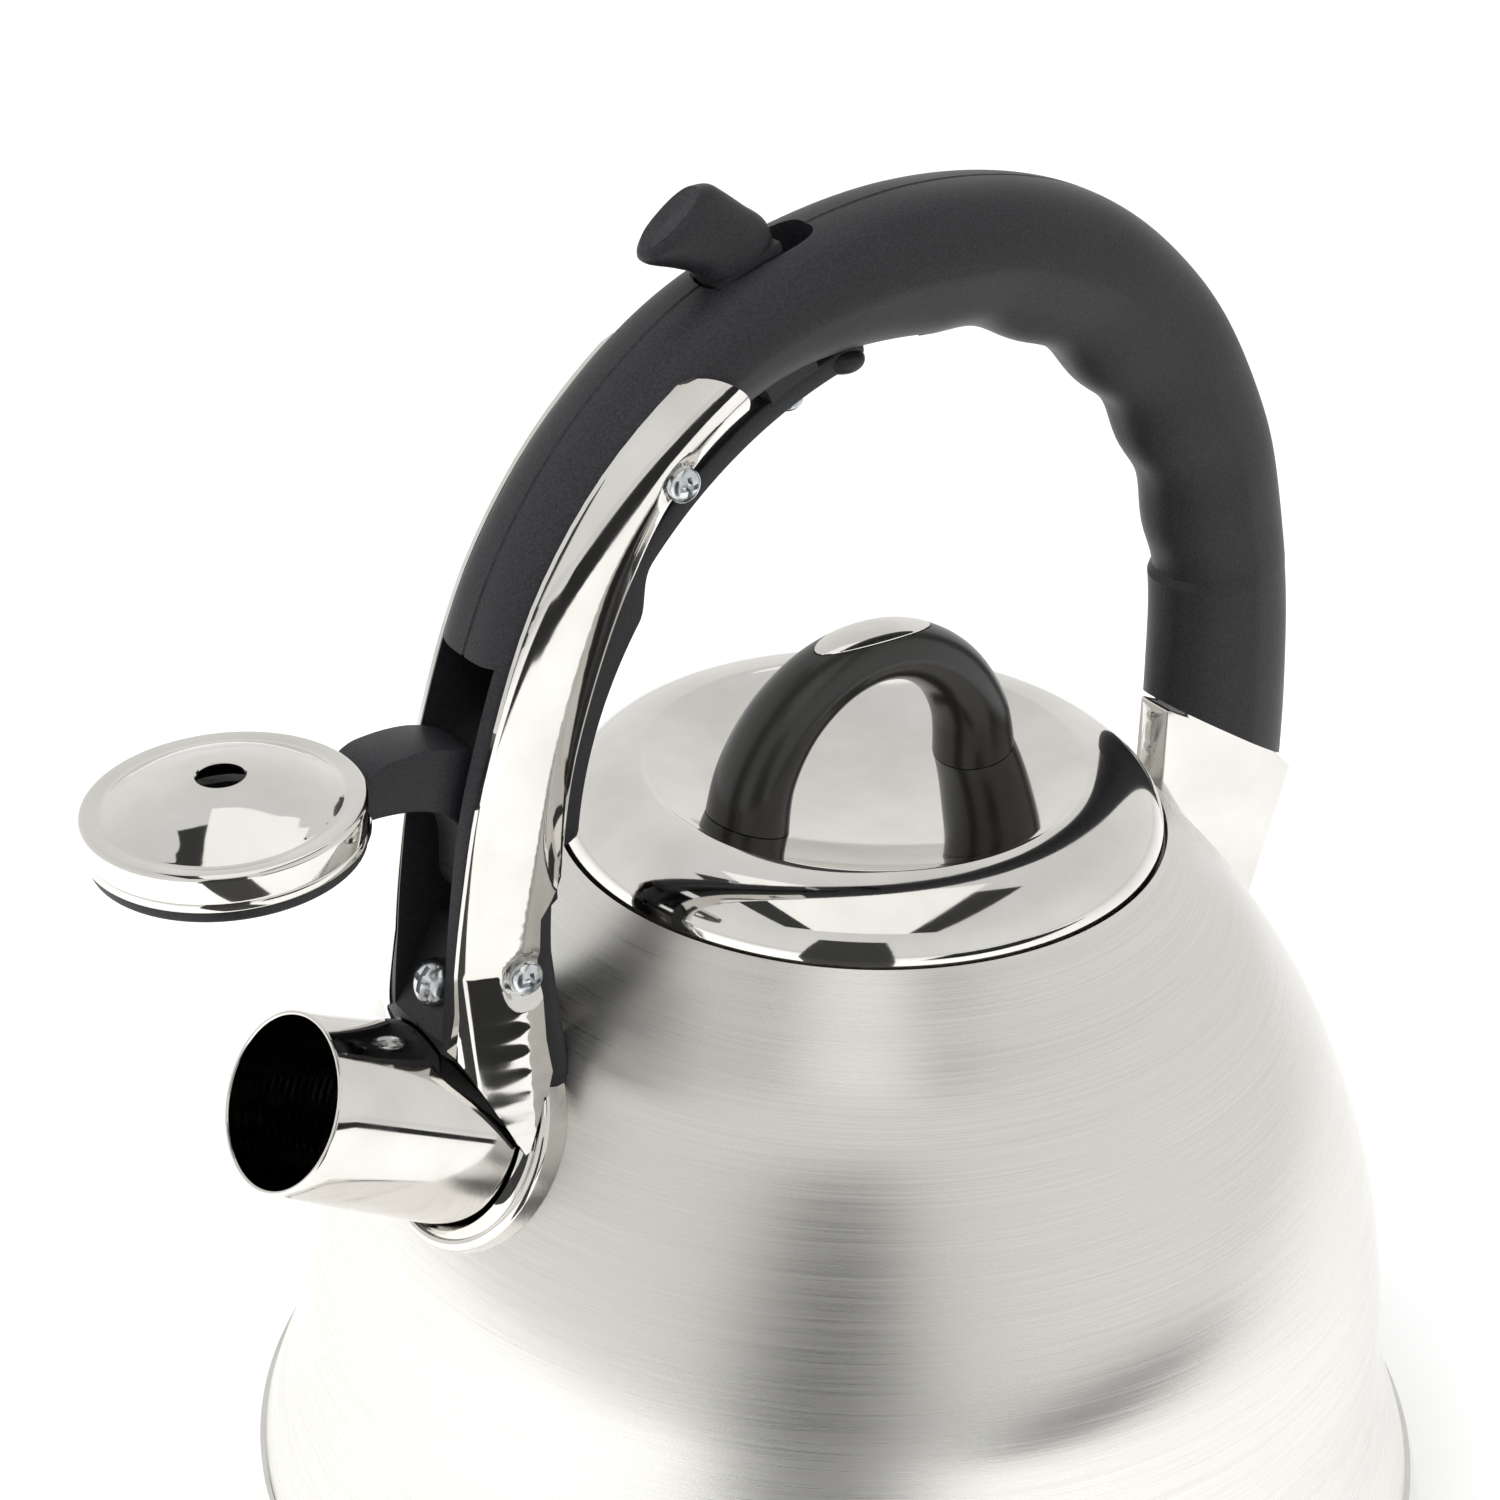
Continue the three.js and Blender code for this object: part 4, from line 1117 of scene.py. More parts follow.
    def trim_outline(self) -> list[Pair]:
        """Outline of a trim plate from the side, round at its upper end and pointed at its tip."""
        steps = 160
        crown, root = self.lines(steps)
        front, rear = [], []
        first, last = round(steps * 0.09), round(steps * 0.412)
        for k in range(first, last + 1, 2):
            inward = (root[k] - crown[k]).normalized()
            front.append(tuple(crown[k] + inward * lerp(0.9, 3.3, (k - first) / (last - first))))
            if root[k].y > RIM + 13:
                rear.append(tuple(root[k] + inward * 2))
        end_front, end_rear = Vector(front[-1]), Vector(rear[-1])
        onward = (end_front - Vector(front[-3])).normalized()
        bow = []
        for k in range(1, 20):
            rise = math.sin(math.pi * (k / 20) ** 0.8) ** 0.55
            bow.append(tuple(end_front.lerp(end_rear, k / 20) + onward * 4.6 * rise))
        return from_rim(self.TRIM_FOOT) + front + bow + rear[::-1]

    def trim(self) -> None:
        """Makes the two pressed plates on the front leg and the screws that hold them."""
        ridge = [Vector(p) for p in through(from_rim(self.CREASE), 80)]

        def press(side: float) -> Callable[[Vector], Vector]:
            """Rule that folds a plate along its ridge and sinks it at its screws."""

            def move(point: Vector) -> Vector:
                """New place of a point of the plate."""
                spot = Vector((point.x, point.z))
                off = min((spot - r).length for r in ridge)
                flat = smoothstep(abs(point.y), 8.2, 10.2)
                fold = (0.5 - 0.11 * min(math.hypot(off, 0.9), 8.0)) * flat
                sink = 0.0
                for x, z, _ in self.TRIM_SCREWS.values():
                    near = (spot - Vector((x, z))).length
                    share = 1 - smoothstep(near, self.dimple_floor, self.dimple_radius)
                    sink = max(sink, (self.dimple_depth + fold) * share)
                return Vector((point.x, point.y + side * (fold - sink * flat), point.z))

            return move

        for name, side in (("near", -1), ("far", 1)):
            plate = self.arch(GAP + self.plate, 180, 130, 0.5)
            plate.name = f"trim_plate_pressed_{name}"
            low, high = (self.wrap, 30) if side > 0 else (-30, -self.wrap)
            carve(plate, Cut.KEEP, prism("keep", self.trim_outline(), low, high))
            inner = self.arch(GAP, 180, 130, 0.5)
            root = (KettleBody().bulk(0.6), Spout().bulk(0.6), Spout().collar_bulk(0.5))
            carve(plate, Cut.SUBTRACT, inner, *root)
            self.drop_slivers(plate)
            reshape(plate, press(side))
            settle(shade(plate, 34), Body.KETTLE, Finish.POLISHED, f"trim_plate_{name}")

        points, axes, nodes = [], [], []
        for level, (x, z, y) in self.TRIM_SCREWS.items():
            for name, side in (("near", -1), ("far", 1)):
                points.append((x, side * (y - 0.6), z))
                axes.append((0, side, 0))
                nodes.append(f"trim_screw_{level}_{name}")
        screws = PanHeadScrews(2.9, 1.9, 1.4, 4.2).make("trim_screws", points, axes)
        settle(screws, Body.KETTLE, Finish.ZINC, *nodes)

    @staticmethod
    def drop_slivers(obj: Piece) -> None:
        """Keeps only the largest connected part of a mesh."""
        work = bmesh.new()
        work.from_mesh(obj.data)
        left = set(work.verts)
        islands = []
        while left:
            island, queue = set(), [left.pop()]
            while queue:
                vertex = queue.pop()
                island.add(vertex)
                for edge in vertex.link_edges:
                    other = edge.other_vert(vertex)
                    if other in left:
                        left.discard(other)
                        queue.append(other)
            islands.append(island)
        islands.sort(key=len)
        for island in islands[:-1]:
            bmesh.ops.delete(work, geom=list(island), context="VERTS")
        work.to_mesh(obj.data)
        work.free()

    def brackets(self) -> None:
        """Makes the sheet brackets at both feet and their screws."""
        rear = soften(from_node("rear_bracket_sheet", "rear_bracket"), 0.3)
        for height in (RIM - 1.5, RIM - 8):
            weld = lathe("weld", [(0, -0.4), (1.3, -0.1), (1.0, 0.25), (0, 0.35)], 32)
            weld.data.transform(Matrix.Rotation(-math.pi / 2, 4, "Y"))
            weld.data.transform(Matrix.Translation((0.0668, 0.001, height / 1000)))
            carve(rear, Cut.JOIN, weld)
        settle(shade(rear), Body.KETTLE, Finish.POLISHED, "rear_bracket")
        front = soften(from_node("front_bracket_sheet", "front_bracket"), 0.2)
        settle(shade(front), Body.KETTLE, Finish.SATIN, "front_bracket")

        outward = (-math.cos(TILT), 0, math.sin(TILT))
        x, z = self.BRACKET_SCREW
        screw = PanHeadScrews(3.9, 2.7, 1.7, 8.5).make(
            "bracket_screw_zinc", [(x + outward[0] * 0.4, 0, z + outward[2] * 0.4)], [outward]
        )
        settle(screw, Body.KETTLE, Finish.ZINC, "bracket_screw")
        rear_place = (90.3, 0, RIM + 8)
        rear_screw = PanHeadScrews(3.1, 1.8, 1.4, 9.5).make("rear_screw_zinc", [rear_place], [(1, 0, 0)])
        settle(rear_screw, Body.KETTLE, Finish.ZINC, "rear_handle_screw")


# ---------- slide bar ----------
@dataclass
class Slider:
    """Bar inside the handle that opens the whistle, with its trigger, thumb tab and screw."""

    outer: float = 79.0
    inner: float = 71.0
    thin: float = 75.0
    half: float = 2.6
    high: float = 103.0
    step: float = 141.0
    bulge_low: float = 177.0
    tongue_low: float = 185.0
    tongue_outer: float = 80.7
    crank_radius: float = 5.56
    pin_radius: float = 1.5
    tab_half: float = 3.8
    tab_front: float = 117.3  # angles of the tab's stem
    tab_rear: float = 110.4
    TAB_RINGS: ClassVar[list[tuple[float, ...]]] = [
        (-22.5, 104, -34.6, 99.8, 3.8),
        (-24.6, 109.2, -37.2, 103, 3.8),
        (-28.6, 112.3, -41, 104.7, 3.75),
        (-32.8, 115.4, -46, 106.3, 3.7),
        (-34.6, 116.4, -46.9, 107.5, 3.4),
        (-37, 116.5, -46.4, 109, 2.8),
    ]

    def crank(self) -> Pair:
        """Place of the crank pin with the whistle open."""
        half_turn = OPEN_TURN / 2
        return (
            PIVOT[0] + self.crank_radius * math.cos(half_turn),
            PIVOT[1] - self.crank_radius * math.sin(half_turn),
        )

    def strip(
        self, name: str, inner: Callable[[float], float], outer: float, start: float, end: float
    ) -> Piece:
        """Bar swept along an arc with rounded edges.

        Args:
            name: name of the object.
            inner: inner radius at an angle in degrees.
            outer: outer radius.
            start: first angle in degrees.
            end: last angle in degrees.

        Returns:
            The closed bar.
        """
        rings = []
        steps = 90
        for k in range(steps + 1):
            angle = lerp(start, end, k / steps)
            span = (end - start) * math.pi / 180 * outer
            from_end = min(k, steps - k) / steps * span
            shrink = max(0.0, 1.4 - from_end)
            low = inner(angle) + shrink * 0.8
            high = outer - shrink * 0.8
            wide = self.half - shrink * 0.5
            middle, reach = (low + high) / 2, (high - low) / 2
            direction = Vector((math.cos(math.radians(angle)), 0, math.sin(math.radians(angle))))
            ring = []
            for j in range(28):
                turn = 2 * math.pi * j / 28
                c, s = math.cos(turn), math.sin(turn)
                r = middle + reach * squared(c, 5)
                point = direction * r
                y = wide * squared(s, 5)
                ring.append(Vector((BAR_CENTRE[0] + point.x, y, BAR_CENTRE[1] + point.z)))
            rings.append(ring)
        return loft(name, rings)

    def build(self) -> None:
        """Makes the bar, the thumb tab and its screw."""

        def underside(angle: float) -> float:
            """Inner radius of the bar, thicker below its step."""
            return lerp(self.thin, self.inner, smoothstep(angle, self.step - 1, self.step + 6))

        bar = self.strip("slide_bar_moulded", underside, self.outer, self.high, self.bulge_low)
        start = self.bulge_low - 3  # overlaps the bar
        tongue = self.strip("tongue", lambda angle: self.thin, self.tongue_outer, start, self.tongue_low)
        turn = math.radians(105.7)
        trigger = lathe("trigger", [(0, -2.4), *arc((0, 0), 1, -88, 88, 24), (0, 2.4)], 48)
        reshape(trigger, lambda p: Vector((p.x * 4.0, p.y * 4.2, p.z * (2.4 if abs(p.z) <= 1 else 1))))
        place(trigger, 0, (BAR_CENTRE[0] + 76.3 * math.cos(turn), BAR_CENTRE[1] + 76.3 * math.sin(turn)))
        carve(bar, Cut.JOIN, tongue, trigger)
        x, z = self.crank()
        low, high = z - self.pin_radius - 0.4, z + self.pin_radius + 0.4
        notch = [(x - 6.7, low), (x + 3.3, low), (x + 3.3, high), (x - 6.7, high)]
        carve(bar, Cut.SUBTRACT, prism("notch", notch, -6, 6))
        settle(shade(bar), Body.SLIDER, Finish.NYLON, "slide_bar")

        rings = []
        for rear_x, rear_z, front_x, front_z, half in through(self.TAB_RINGS, 40):
            rear, front = Vector((rear_x, RIM + rear_z)), Vector((front_x, RIM + front_z))
            middle, reach = (rear + front) / 2, (front - rear) / 2
            ring = []
            for k in range(48):
                turn = 2 * math.pi * k / 48
                c, s = math.cos(turn), math.sin(turn)
                spot = middle + reach * squared(c, 2.4)
                ring.append(Vector((spot.x, half * squared(s, 2.4), spot.y)))
            rings.append(ring)
        face = rings[-1]
        centre = sum(face, Vector()) / len(face)
        sunk = centre - (rings[-1][0] - rings[-2][0]).normalized() * 0.5
        rings += [[centre.lerp(p, t).lerp(sunk, (1 - t) * 0.9) for p in face] for t in (0.75, 0.45, 0.15)]
        tab = loft("thumb_tab_moulded", rings)
        stem = Handle().band(self.outer + GAP, 103, self.tab_front, self.tab_rear, self.tab_half)
        carve(tab, Cut.JOIN, stem)
        settle(shade(tab), Body.SLIDER, Finish.NYLON, "thumb_tab")
        angle = math.radians((self.tab_front + self.tab_rear) / 2)
        direction = (math.cos(angle), math.sin(angle))
        r = self.thin - GAP
        screw = PanHeadScrews(2.2, 1.2, 0.9, 8.0).make(
            "tab_screw_zinc",
            [(BAR_CENTRE[0] + r * direction[0], 0, BAR_CENTRE[1] + r * direction[1])],
            [(-direction[0], 0, -direction[1])],
        )
        settle(screw, Body.SLIDER, Finish.ZINC, "tab_screw")


# ---------- whistle ----------
@dataclass
class Whistle:
    """Cap with its hole, the moulded holder and arm under it, the two whistle plates and the pins."""

    cap_radius: float = 21.1
    skirt: float = 6.0
    dome_radius: float = 17.6
    dome_rise: float = 4.4
    hole_radius: float = 3.8
    sheet: float = 0.7
    holder_depth: float = 8.0
    bore: float = 9.5
    arm_half: float = 5.0
    ARM: ClassVar[list[Pair]] = [
        (-80.6, 14), (-81, 21), (-84, 26.5), (-89.5, 29.6), (-97, 30.8), (-104, 30.4), (-104, 32.4),
        (-98, 38.2), (-93, 39.6), (-85, 39), (-78, 35.5), (-72, 28), (-69.6, 20), (-69.2, 12),
    ]

    def on_cap(self, obj: Piece) -> Piece:
        """Places a shape from the cap's own frame, +Z up through the cap, to where the open cap stands."""
        reach = self.holder_depth + GAP
        x = MOUTH[0] - math.cos(TILT) * reach - PIVOT[0]
        z = MOUTH[1] + math.sin(TILT) * reach - PIVOT[1]
        c, s = math.cos(-OPEN_TURN), math.sin(-OPEN_TURN)
        spot = (PIVOT[0] + x * c - z * s, PIVOT[1] + x * s + z * c)
        return place(obj, TILT + OPEN_TURN - math.pi / 2, spot)

    def build(self) -> None:
        """Makes the cap, arm, plates and pins."""
        r, sheet = self.cap_radius, self.sheet
        swell = [(16.2, 0.75), (13, 2.3), (8, 3.8)]
        dome = through([(self.dome_radius, 0.0), *swell, (self.hole_radius, self.dome_rise)], 48)
        hole = self.hole_radius - 0.15
        lip = [(hole, self.dome_rise - 0.2), (hole, self.dome_rise - sheet)]
        under = [(x, z - sheet) for x, z in reversed(dome)]
        roll = arc((r - 0.9, -0.9), 0.9, 0, 90, 8)
        hem = arc((r - sheet / 2, -self.skirt + sheet / 2), sheet / 2, -180, 0, 6)
        section = [
            *hem,
            (r, -self.skirt + 1.2),
            (r - 0.12, -self.skirt + 1.5),
            (r, -self.skirt + 1.8),
            *roll,
            (self.dome_radius + 1.0, -0.12),
            (self.dome_radius + 0.5, -0.2),
            *dome,
            *lip,
            *under,
            (r - sheet, -sheet - 0.2),
        ]
        cap = self.on_cap(lathe("whistle_cap_spun", section, 160))
        settle(shade(cap), Body.WHISTLE, Finish.POLISHED, "whistle_cap")
        self.arm()
        for level, z in (("upper", -sheet - GAP - 1.6), ("lower", 1 - self.holder_depth)):
            radius = self.bore - GAP
            section = [(1.3, z), (radius, z), (radius, z + 0.6), (1.3, z + 0.6)]
            disc = lathe("plate", rounded(section, 0.15), 64)
            disc.name = f"whistle_plate_pierced_{level}"
            settle(shade(self.on_cap(disc)), Body.WHISTLE, Finish.SATIN, f"whistle_plate_{level}")
        for name, node, spot, radius, half, body in (
            ("crank_pin_steel", "crank_pin", Slider().crank(), 1.5, 5.4, Body.WHISTLE),
            ("pivot_pin_steel", "pivot_pin", PIVOT, 2.0, 8.6, Body.KETTLE),
        ):
            edge = 0.3
            pin = [(0, -half), (radius - edge, -half), (radius, edge - half), (radius, half - edge)]
            obj = crosswise(lathe(name, [*pin, (radius - edge, half), (0, half)], 48))
            settle(shade(place(obj, 0, spot)), body, Finish.ZINC, node)

    def arm(self) -> None:
        """Makes the moulded holder with its arm, hub and crank."""
        inner = self.cap_radius - self.sheet - GAP
        top, flange = -self.sheet - GAP, -self.skirt - GAP
        edge = self.cap_radius - 0.7
        foot = -self.holder_depth
        low = rounded([(self.bore, foot), (edge, foot), (edge, flange), (inner, flange)], 0.5)
        ring = self.on_cap(lathe("whistle_arm_moulded", [*low, (inner, top), (self.bore, top)], 128))
        outline = from_rim(self.ARM)
        side = through([*outline, outline[0]], 120)[:-1]
        beam = soften(prism("beam", side, -self.arm_half, self.arm_half), 0.9)
        crank_x, crank_z = Slider().crank()
        cheek = arc((crank_x, crank_z), 3.2, -120, 60, 12) + arc(PIVOT, 5.4, 60, 240, 24)
        cheeks = soften(prism("cheeks", cheek, -5.6, 5.6), 0.5)
        behind = [*arc(PIVOT, 5.6, -100, 80, 16), (-50, PIVOT[1] + 30), (-50, PIVOT[1] - 30)]
        reach = self.cap_radius + GAP
        carve(
            beam,
            Cut.SUBTRACT,
            self.on_cap(lathe("space", [(0, flange), (reach, flange), (reach, 20), (0, 20)], 96)),
            self.on_cap(lathe("throat", [(0, -20), (self.bore + 2, -20), (self.bore + 2, 20), (0, 20)], 96)),
        )
        carve(beam, Cut.JOIN, cheeks)
        carve(beam, Cut.SUBTRACT, prism("fork", behind, -3.1, 3.1))
        hub = lathe("hub", [(0, -5.6), (5.1, -5.6), (5.4, -5.3), (5.4, 5.3), (5.1, 5.6), (0, 5.6)], 64)
        carve(ring, Cut.JOIN, beam, place(crosswise(hub), 0, PIVOT))
        for spot, radius in ((PIVOT, 2.3), ((crank_x, crank_z), 1.8)):
            bore = lathe("bore", [(0, -12), (radius, -12), (radius, 12), (0, 12)], 48)
            carve(ring, Cut.SUBTRACT, place(crosswise(bore), 0, spot))
        settle(shade(ring), Body.WHISTLE, Finish.NYLON, "whistle_arm")


# ---------- lid ----------
@dataclass
class Lid:
    """Polished lid with its rounded border and dish, its skirt, and the arch knob with its screws."""

    radius: float = 50.9
    crest_radius: float = 37.4
    crest_rise: float = 9.8
    dish_rise: float = 2.0
    sheet: float = 0.8
    skirt_radius: float = 45.8
    knob_span: float = 24.5
    knob_rise: float = 29.7

    def border(self, grow: float, steps: int) -> list[Pair]:
        """Rounded border from the lid's edge up to its crest, moved outwards by grow."""
        width = self.radius - self.crest_radius + grow
        return [
            (
                self.crest_radius + width * math.cos(math.pi / 2 * k / steps),
                RIM + (self.crest_rise + grow) * math.sin(math.pi / 2 * k / steps),
            )
            for k in range(steps + 1)
        ]

    def dish_z(self, radius: float) -> float:
        """Height of the dish at a radius."""
        return RIM + self.dish_rise + (self.crest_rise - self.dish_rise) * (radius / self.crest_radius) ** 2

    def build(self) -> None:
        """Makes the lid, skirt, knob, inlay, screws and washers."""
        dish = [(r, self.dish_z(r) - 0.15 * max(0.0, 1 - (36.9 - r) / 1.2)) for r in self._radii(36.9, 60)]
        under = [(r, z - self.sheet) for r, z in reversed(dish)]
        edge = self.radius
        section = [
            (0, dish[-1][1] - self.sheet),
            *under[1:],
            *reversed(self.border(-self.sheet, 40)),
            (edge - self.sheet, RIM - 1),
            (edge - 0.2, RIM - 1),
            (edge, RIM - 0.8),
            *self.border(0, 48),
            *dish,
        ]
        lid = lathe("lid_spun", section)
        settle(shade(lid, 40), Body.LID, Finish.POLISHED, "lid_shell")

        r, sheet = self.skirt_radius, self.sheet
        skirt = [(r, RIM - 8), (r, RIM + 3), (r - 3, RIM + 6.6), (r - 3 - sheet, RIM + 6.2),
                 (r - sheet, RIM + 2.6), (r - sheet, RIM - 8)]
        settle(shade(lathe("lid_skirt_rolled", rounded(skirt, 0.35))), Body.LID, Finish.SATIN, "lid_skirt")
        self.knob()

    @staticmethod
    def _radii(outer: float, steps: int) -> list[float]:
        """Radii from outer down to the axis."""
        return [outer * (1 - k / steps) for k in range(steps + 1)]

    def knob_loft(self, grow: float) -> Piece:
        """The arch of the knob as a solid, moved outwards by grow."""
        foot = RIM + self.dish_rise + 1.4
        points = []
        for degrees in (-90, -68, -45, -22, 0, 22, 45, 68, 90):
            a = math.radians(degrees)
            points.append((self.knob_span * math.sin(a), foot + (RIM + self.knob_rise - foot) * math.cos(a)))
        steps = 120
        line = [Vector(p) for p in through(points, steps)]
        rings = []
        for i, centre in enumerate(line):
            along = (line[min(i + 1, steps)] - line[max(i - 1, 0)]).normalized()
            out = Vector((-along.y, along.x))
            spread = abs(2 * i / steps - 1) ** 1.5
            high, wide = lerp(4.8, 7, spread) + grow, lerp(6.4, 7.6, spread) + grow
            ring = []
            for k in range(64):
                turn = 2 * math.pi * k / 64
                spot = centre + out * (high * math.cos(turn))
                ring.append(Vector((spot.x, wide * math.sin(turn), spot.y)))
            rings.append(ring)
        return loft("knob_arch_moulded", rings)

    def oval(self, half_length: float, half_width: float, low: float, high: float) -> Piece:
        """Upright oval solid on the knob's top."""
        turns = (2 * math.pi * k / 72 for k in range(72))
        ring = [(half_length * math.cos(a), half_width * math.sin(a)) for a in turns]
        return loft("oval", [[Vector((x + 0.8, y, z)) for x, y in ring] for z in (low, high)])

    def knob(self) -> None:
        """Makes the knob, its steel inlay, and the screws and washers under the lid."""
        top = RIM + self.knob_rise + 4.8
        overlap = [(0, RIM - 20), (44, RIM - 20), *((r, self.dish_z(r) + 0.1) for r in self._radii(44, 40))]
        knob = carve(
            self.knob_loft(0),
            Cut.SUBTRACT,
            lathe("dish", overlap, 128),
            self.oval(11.9, 4.3, top - 4.2, top + 2),
        )
        settle(shade(knob), Body.LID, Finish.PHENOLIC, "lid_knob")
        inlay = self.knob_loft(0.12)
        inlay.name = "knob_inlay_polished"
        carve(inlay, Cut.KEEP, self.oval(11.75, 4.15, top - 4.1, top + 2))
        reshape(inlay, lambda p: Vector((p.x, p.y, min(p.z, top - 0.02))))
        settle(shade(inlay), Body.LID, Finish.POLISHED, "knob_inlay")

        under = self.dish_z(self.knob_span) - self.sheet - 2.4
        points = [(side * self.knob_span, 0, under) for side in (-1, 1)]
        screws = PanHeadScrews(3.2, 2.0, 1.6, 11.5).make("knob_screws", points, [(0, 0, -1)] * 2)
        settle(screws, Body.LID, Finish.ZINC, "knob_screw_front", "knob_screw_rear")
        for name, side in (("front", -1), ("rear", 1)):
            washer = lathe("washer", rounded([(1.9, 0), (4.6, 0), (4.6, 0.7), (1.9, 0.7)], 0.15), 64)
            washer.name = f"knob_washer_pressed_{name}"
            place(washer, 0, (side * self.knob_span, under + GAP))
            settle(shade(washer), Body.LID, Finish.ZINC, f"knob_washer_{name}")


# ---------- studio ----------
@dataclass
class Studio:
    """Pale floor, soft light, the cards that polished metal reflects, and the camera."""

    azimuth: float = 37.5  # camera's heading from +Y towards +X
    pitch: float = 27.84  # camera looks down by this
    roll: float = 1.6
    lens: float = 84.0
    eye: tuple[float, float, float] = (-330.1, -398.9, 438.2)
    # Cards as corners and brightness, each corner given towards the camera, to its right, and up.
    CARDS: ClassVar[dict[str, tuple[list[tuple[float, float, float]], float]]] = {
        "soft box": ([(930, -340, 1150), (930, 340, 1150), (-470, 340, 1150), (-470, -340, 1150)], 1.25),
        "dark frame left": (
            [(900, -340, 1160), (900, -560, 1160), (-300, -560, 1160), (-300, -340, 1160)], 0.05
        ),
        "dark frame right": (
            [(900, 340, 1160), (900, 560, 1160), (-300, 560, 1160), (-300, 340, 1160)], 0.05
        ),
        "dark stand": ([(560, -216, 0), (560, 115, 0), (560, 90, 470), (560, -150, 470)], 0.06),
        "dark table front": ([(190, -52, 4), (190, 30, 4), (560, 115, 4), (560, -216, 4)], 0.08),
    }

    def build(self) -> None:
        """Makes the camera, floor, cards and lights."""
        self.camera()
        self.floor()
        self.light()

    def camera(self) -> None:
        """Sets the camera at the object's three-quarter view from above."""
        heading, pitch, roll = (math.radians(a) for a in (self.azimuth, self.pitch, self.roll))
        right = Vector((math.cos(heading), -math.sin(heading), 0))
        level = Vector((math.sin(heading), math.cos(heading), 0))
        ahead = math.cos(pitch) * level - math.sin(pitch) * Vector((0, 0, 1))
        up = math.sin(pitch) * level + math.cos(pitch) * Vector((0, 0, 1))
        side = math.cos(roll) * right + math.sin(roll) * up
        top = -math.sin(roll) * right + math.cos(roll) * up
        data = bpy.data.cameras.new("camera")
        data.lens, data.sensor_width, data.clip_end = self.lens, 36.0, 50.0
        camera = bpy.data.objects.new("camera", data)
        rotation = Matrix((side, top, -ahead)).transposed().to_4x4()
        camera.matrix_world = Matrix.Translation(Vector(self.eye) / 1000) @ rotation
        bpy.context.scene.collection.objects.link(camera)
        bpy.context.scene.camera = camera

    def floor(self) -> None:
        """Lays the pale floor."""
        far = 9000
        corners = [(-far, -far, 0), (far, -far, 0), (far, far, 0), (-far, far, 0)]
        floor = make_object("floor", corners, [(0, 1, 2, 3)])
        material, tree = blank_material("paper, white matt")
        shader = add(
            tree,
            "ShaderNodeBsdfPrincipled",
            {},
            {"Base Color": (0.9, 0.9, 0.9, 1), "Roughness": 1.0, "Specular IOR Level": 0.0,
             "Emission Color": (1, 1, 1, 1), "Emission Strength": 0.08},
        )
        add(tree, "ShaderNodeOutputMaterial", links={"Surface": shader.outputs[0]})
        floor.data.materials.append(material)

    def card(self, name: str, corners: Sequence[Sequence[float]], glow: float) -> None:
        """Card that only glossy surfaces see.

        Args:
            name: name of the card.
            corners: its four corners in order, in millimetres.
            glow: its brightness; 0 is a black card.
        """
        obj = make_object(name, corners, [(0, 1, 2, 3)])
        material, tree = blank_material(name)
        shader = add(tree, "ShaderNodeEmission", {}, {"Color": (glow, glow, glow * 0.98, 1), "Strength": 1.0})
        add(tree, "ShaderNodeOutputMaterial", links={"Surface": shader.outputs[0]})
        obj.data.materials.append(material)
        obj.visible_camera = False
        obj.visible_diffuse = False
        obj.visible_shadow = False
        obj.visible_transmission = False

    def lamp(self, name: str, at: tuple[float, float, float], size: float, power: float) -> None:
        """Soft lamp aimed at the kettle, which metal doesn't mirror.

        Args:
            name: name of the lamp.
            at: its place in metres.
            size: its width in metres.
            power: its power in watts.
        """
        data = bpy.data.lights.new(name, "AREA")
        data.shape, data.size, data.energy = "DISK", size, power
        lamp = bpy.data.objects.new(name, data)
        aim = (Vector(at) - Vector((0, 0, 0.15))).to_track_quat("Z", "Y").to_matrix().to_4x4()
        lamp.matrix_world = Matrix.Translation(at) @ aim
        lamp.visible_glossy = False
        bpy.context.scene.collection.objects.link(lamp)

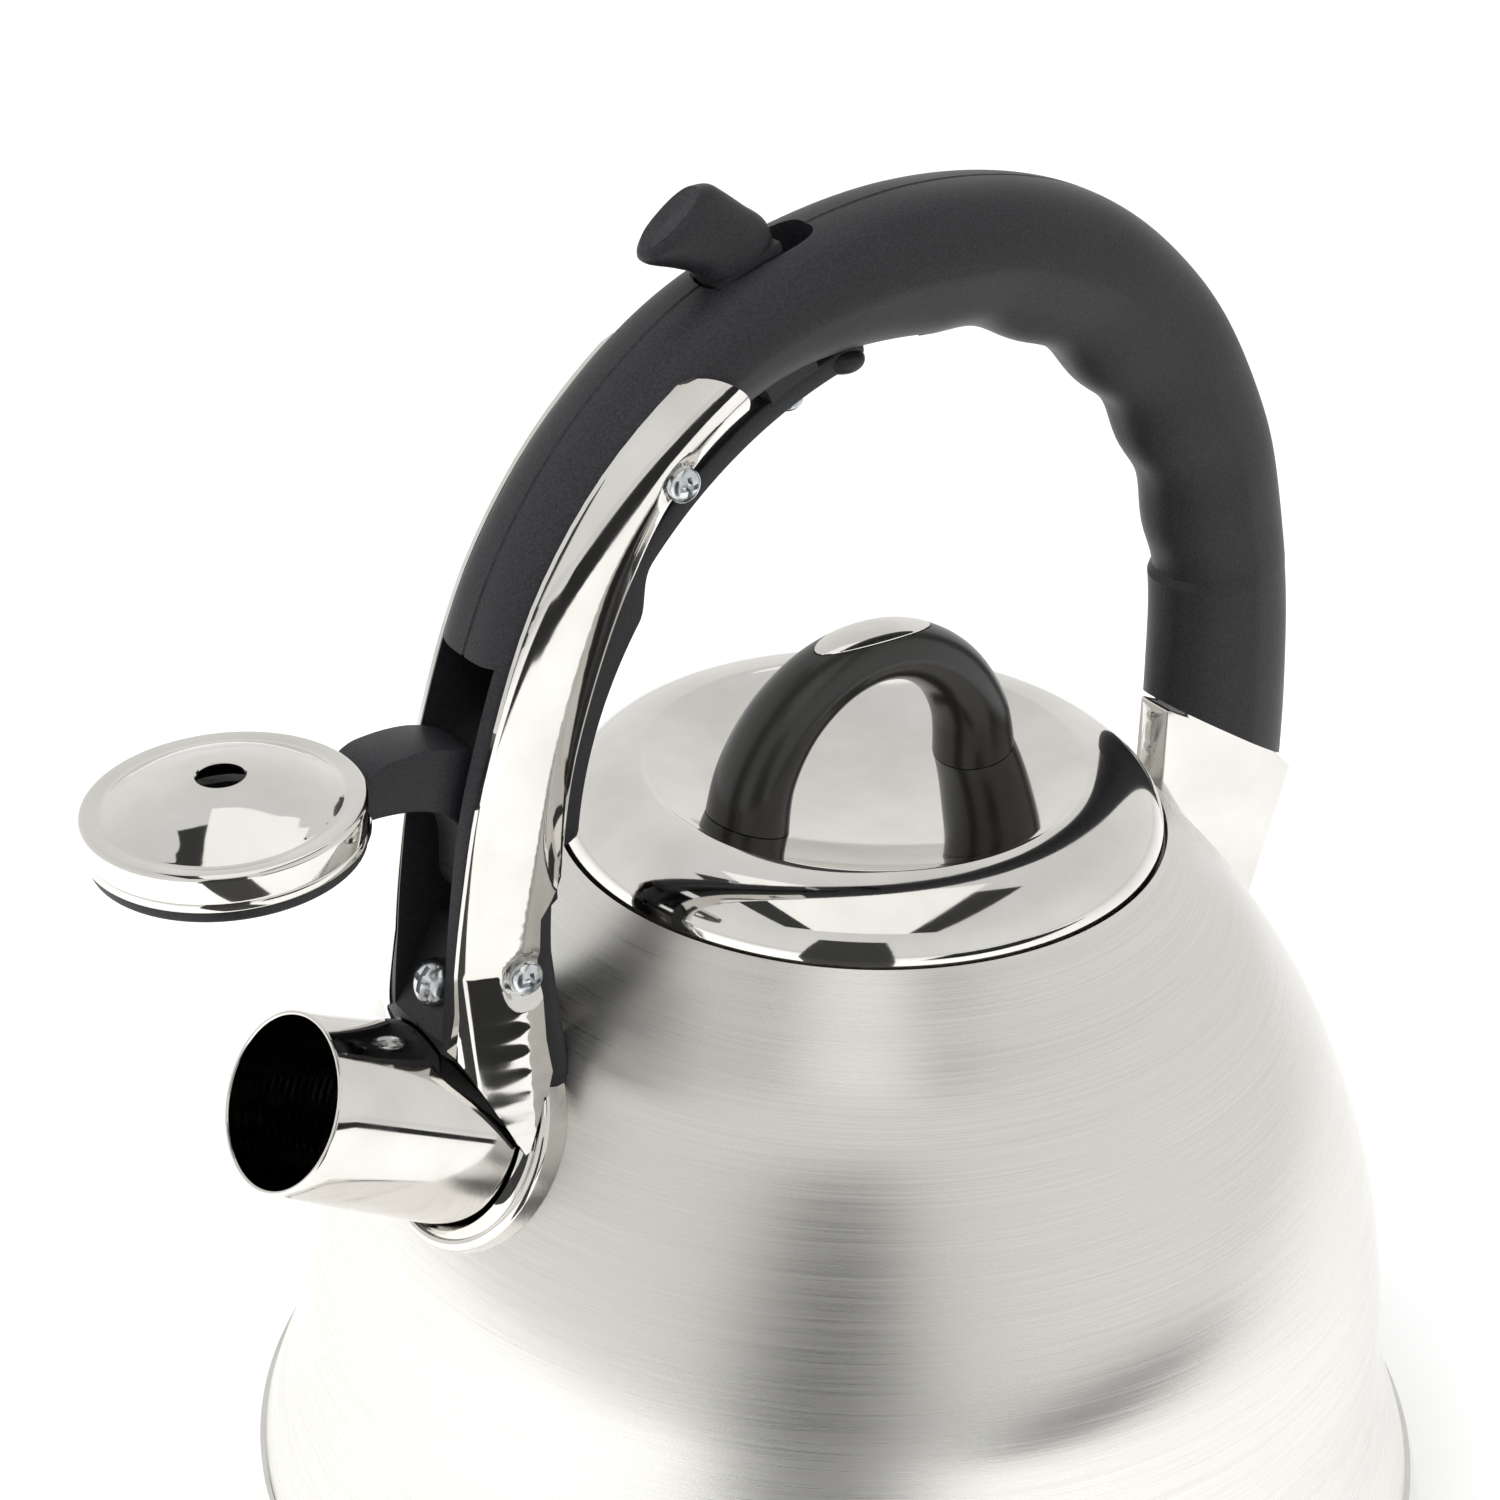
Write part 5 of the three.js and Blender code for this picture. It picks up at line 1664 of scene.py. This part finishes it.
    def sky(self) -> None:
        """Sky of soft white walls that grow a little greyer overhead."""
        world = bpy.data.worlds.new("studio")
        bpy.context.scene.world = world
        world.use_nodes = True
        tree = world.node_tree
        tree.nodes.clear()
        coords = add(tree, "ShaderNodeTexCoord").outputs["Generated"]
        height = add(tree, "ShaderNodeSeparateXYZ", links={0: coords}).outputs["Z"]
        spread = add(tree, "ShaderNodeMapRange", {}, {"From Min": -1.0, "From Max": 1.0}, {"Value": height})
        shades = add(tree, "ShaderNodeValToRGB", links={"Fac": spread.outputs["Result"]})
        stops = shades.color_ramp.elements
        stops[0].position, stops[0].color = 0.0, (0.9, 0.9, 0.9, 1)
        stops[1].position, stops[1].color = 1.0, (0.8, 0.8, 0.82, 1)
        for position, value in ((0.5, 0.95), (0.7, 0.92), (0.85, 0.85)):
            stop = stops.new(position)
            stop.color = (value, value, value * 0.985, 1)
        glow = add(tree, "ShaderNodeBackground", {}, {"Strength": 1.0}, {"Color": shades.outputs["Color"]})
        add(tree, "ShaderNodeOutputWorld", links={"Surface": glow.outputs[0]})

    def light(self) -> None:
        """Hangs the sky, the soft box and the dark cards that give polished metal its contrast."""
        bpy.context.scene.view_settings.view_transform = "Standard"
        self.sky()
        self.lamp("key", (-0.8, 0.0, 1.2), 0.9, 14.0)
        self.lamp("fill", (-0.2, -1.0, 1.2), 1.0, 6.0)
        toward, across = Vector((-0.609, -0.793, 0)), Vector((0.793, -0.609, 0))
        for name, (corners, glow) in self.CARDS.items():
            spots = [toward * ahead + across * right + Vector((0, 0, up)) for ahead, right, up in corners]
            self.card(name, spots, glow)
        side = [(-200, -640, 3), (700, -640, 3), (700, -1900, 3), (-200, -1900, 3)]
        self.card("dark floor side", side, 0.03)


def main() -> None:
    """Builds the kettle in order and reports each sub-assembly."""
    logging.basicConfig(level=logging.INFO, format="%(message)s")
    for part in (Studio(), KettleBody(), Spout(), Handle(), Slider(), Whistle(), Lid()):
        part.build()
        log.info("built %s", type(part).__name__)


if __name__ == "__main__":
    main()
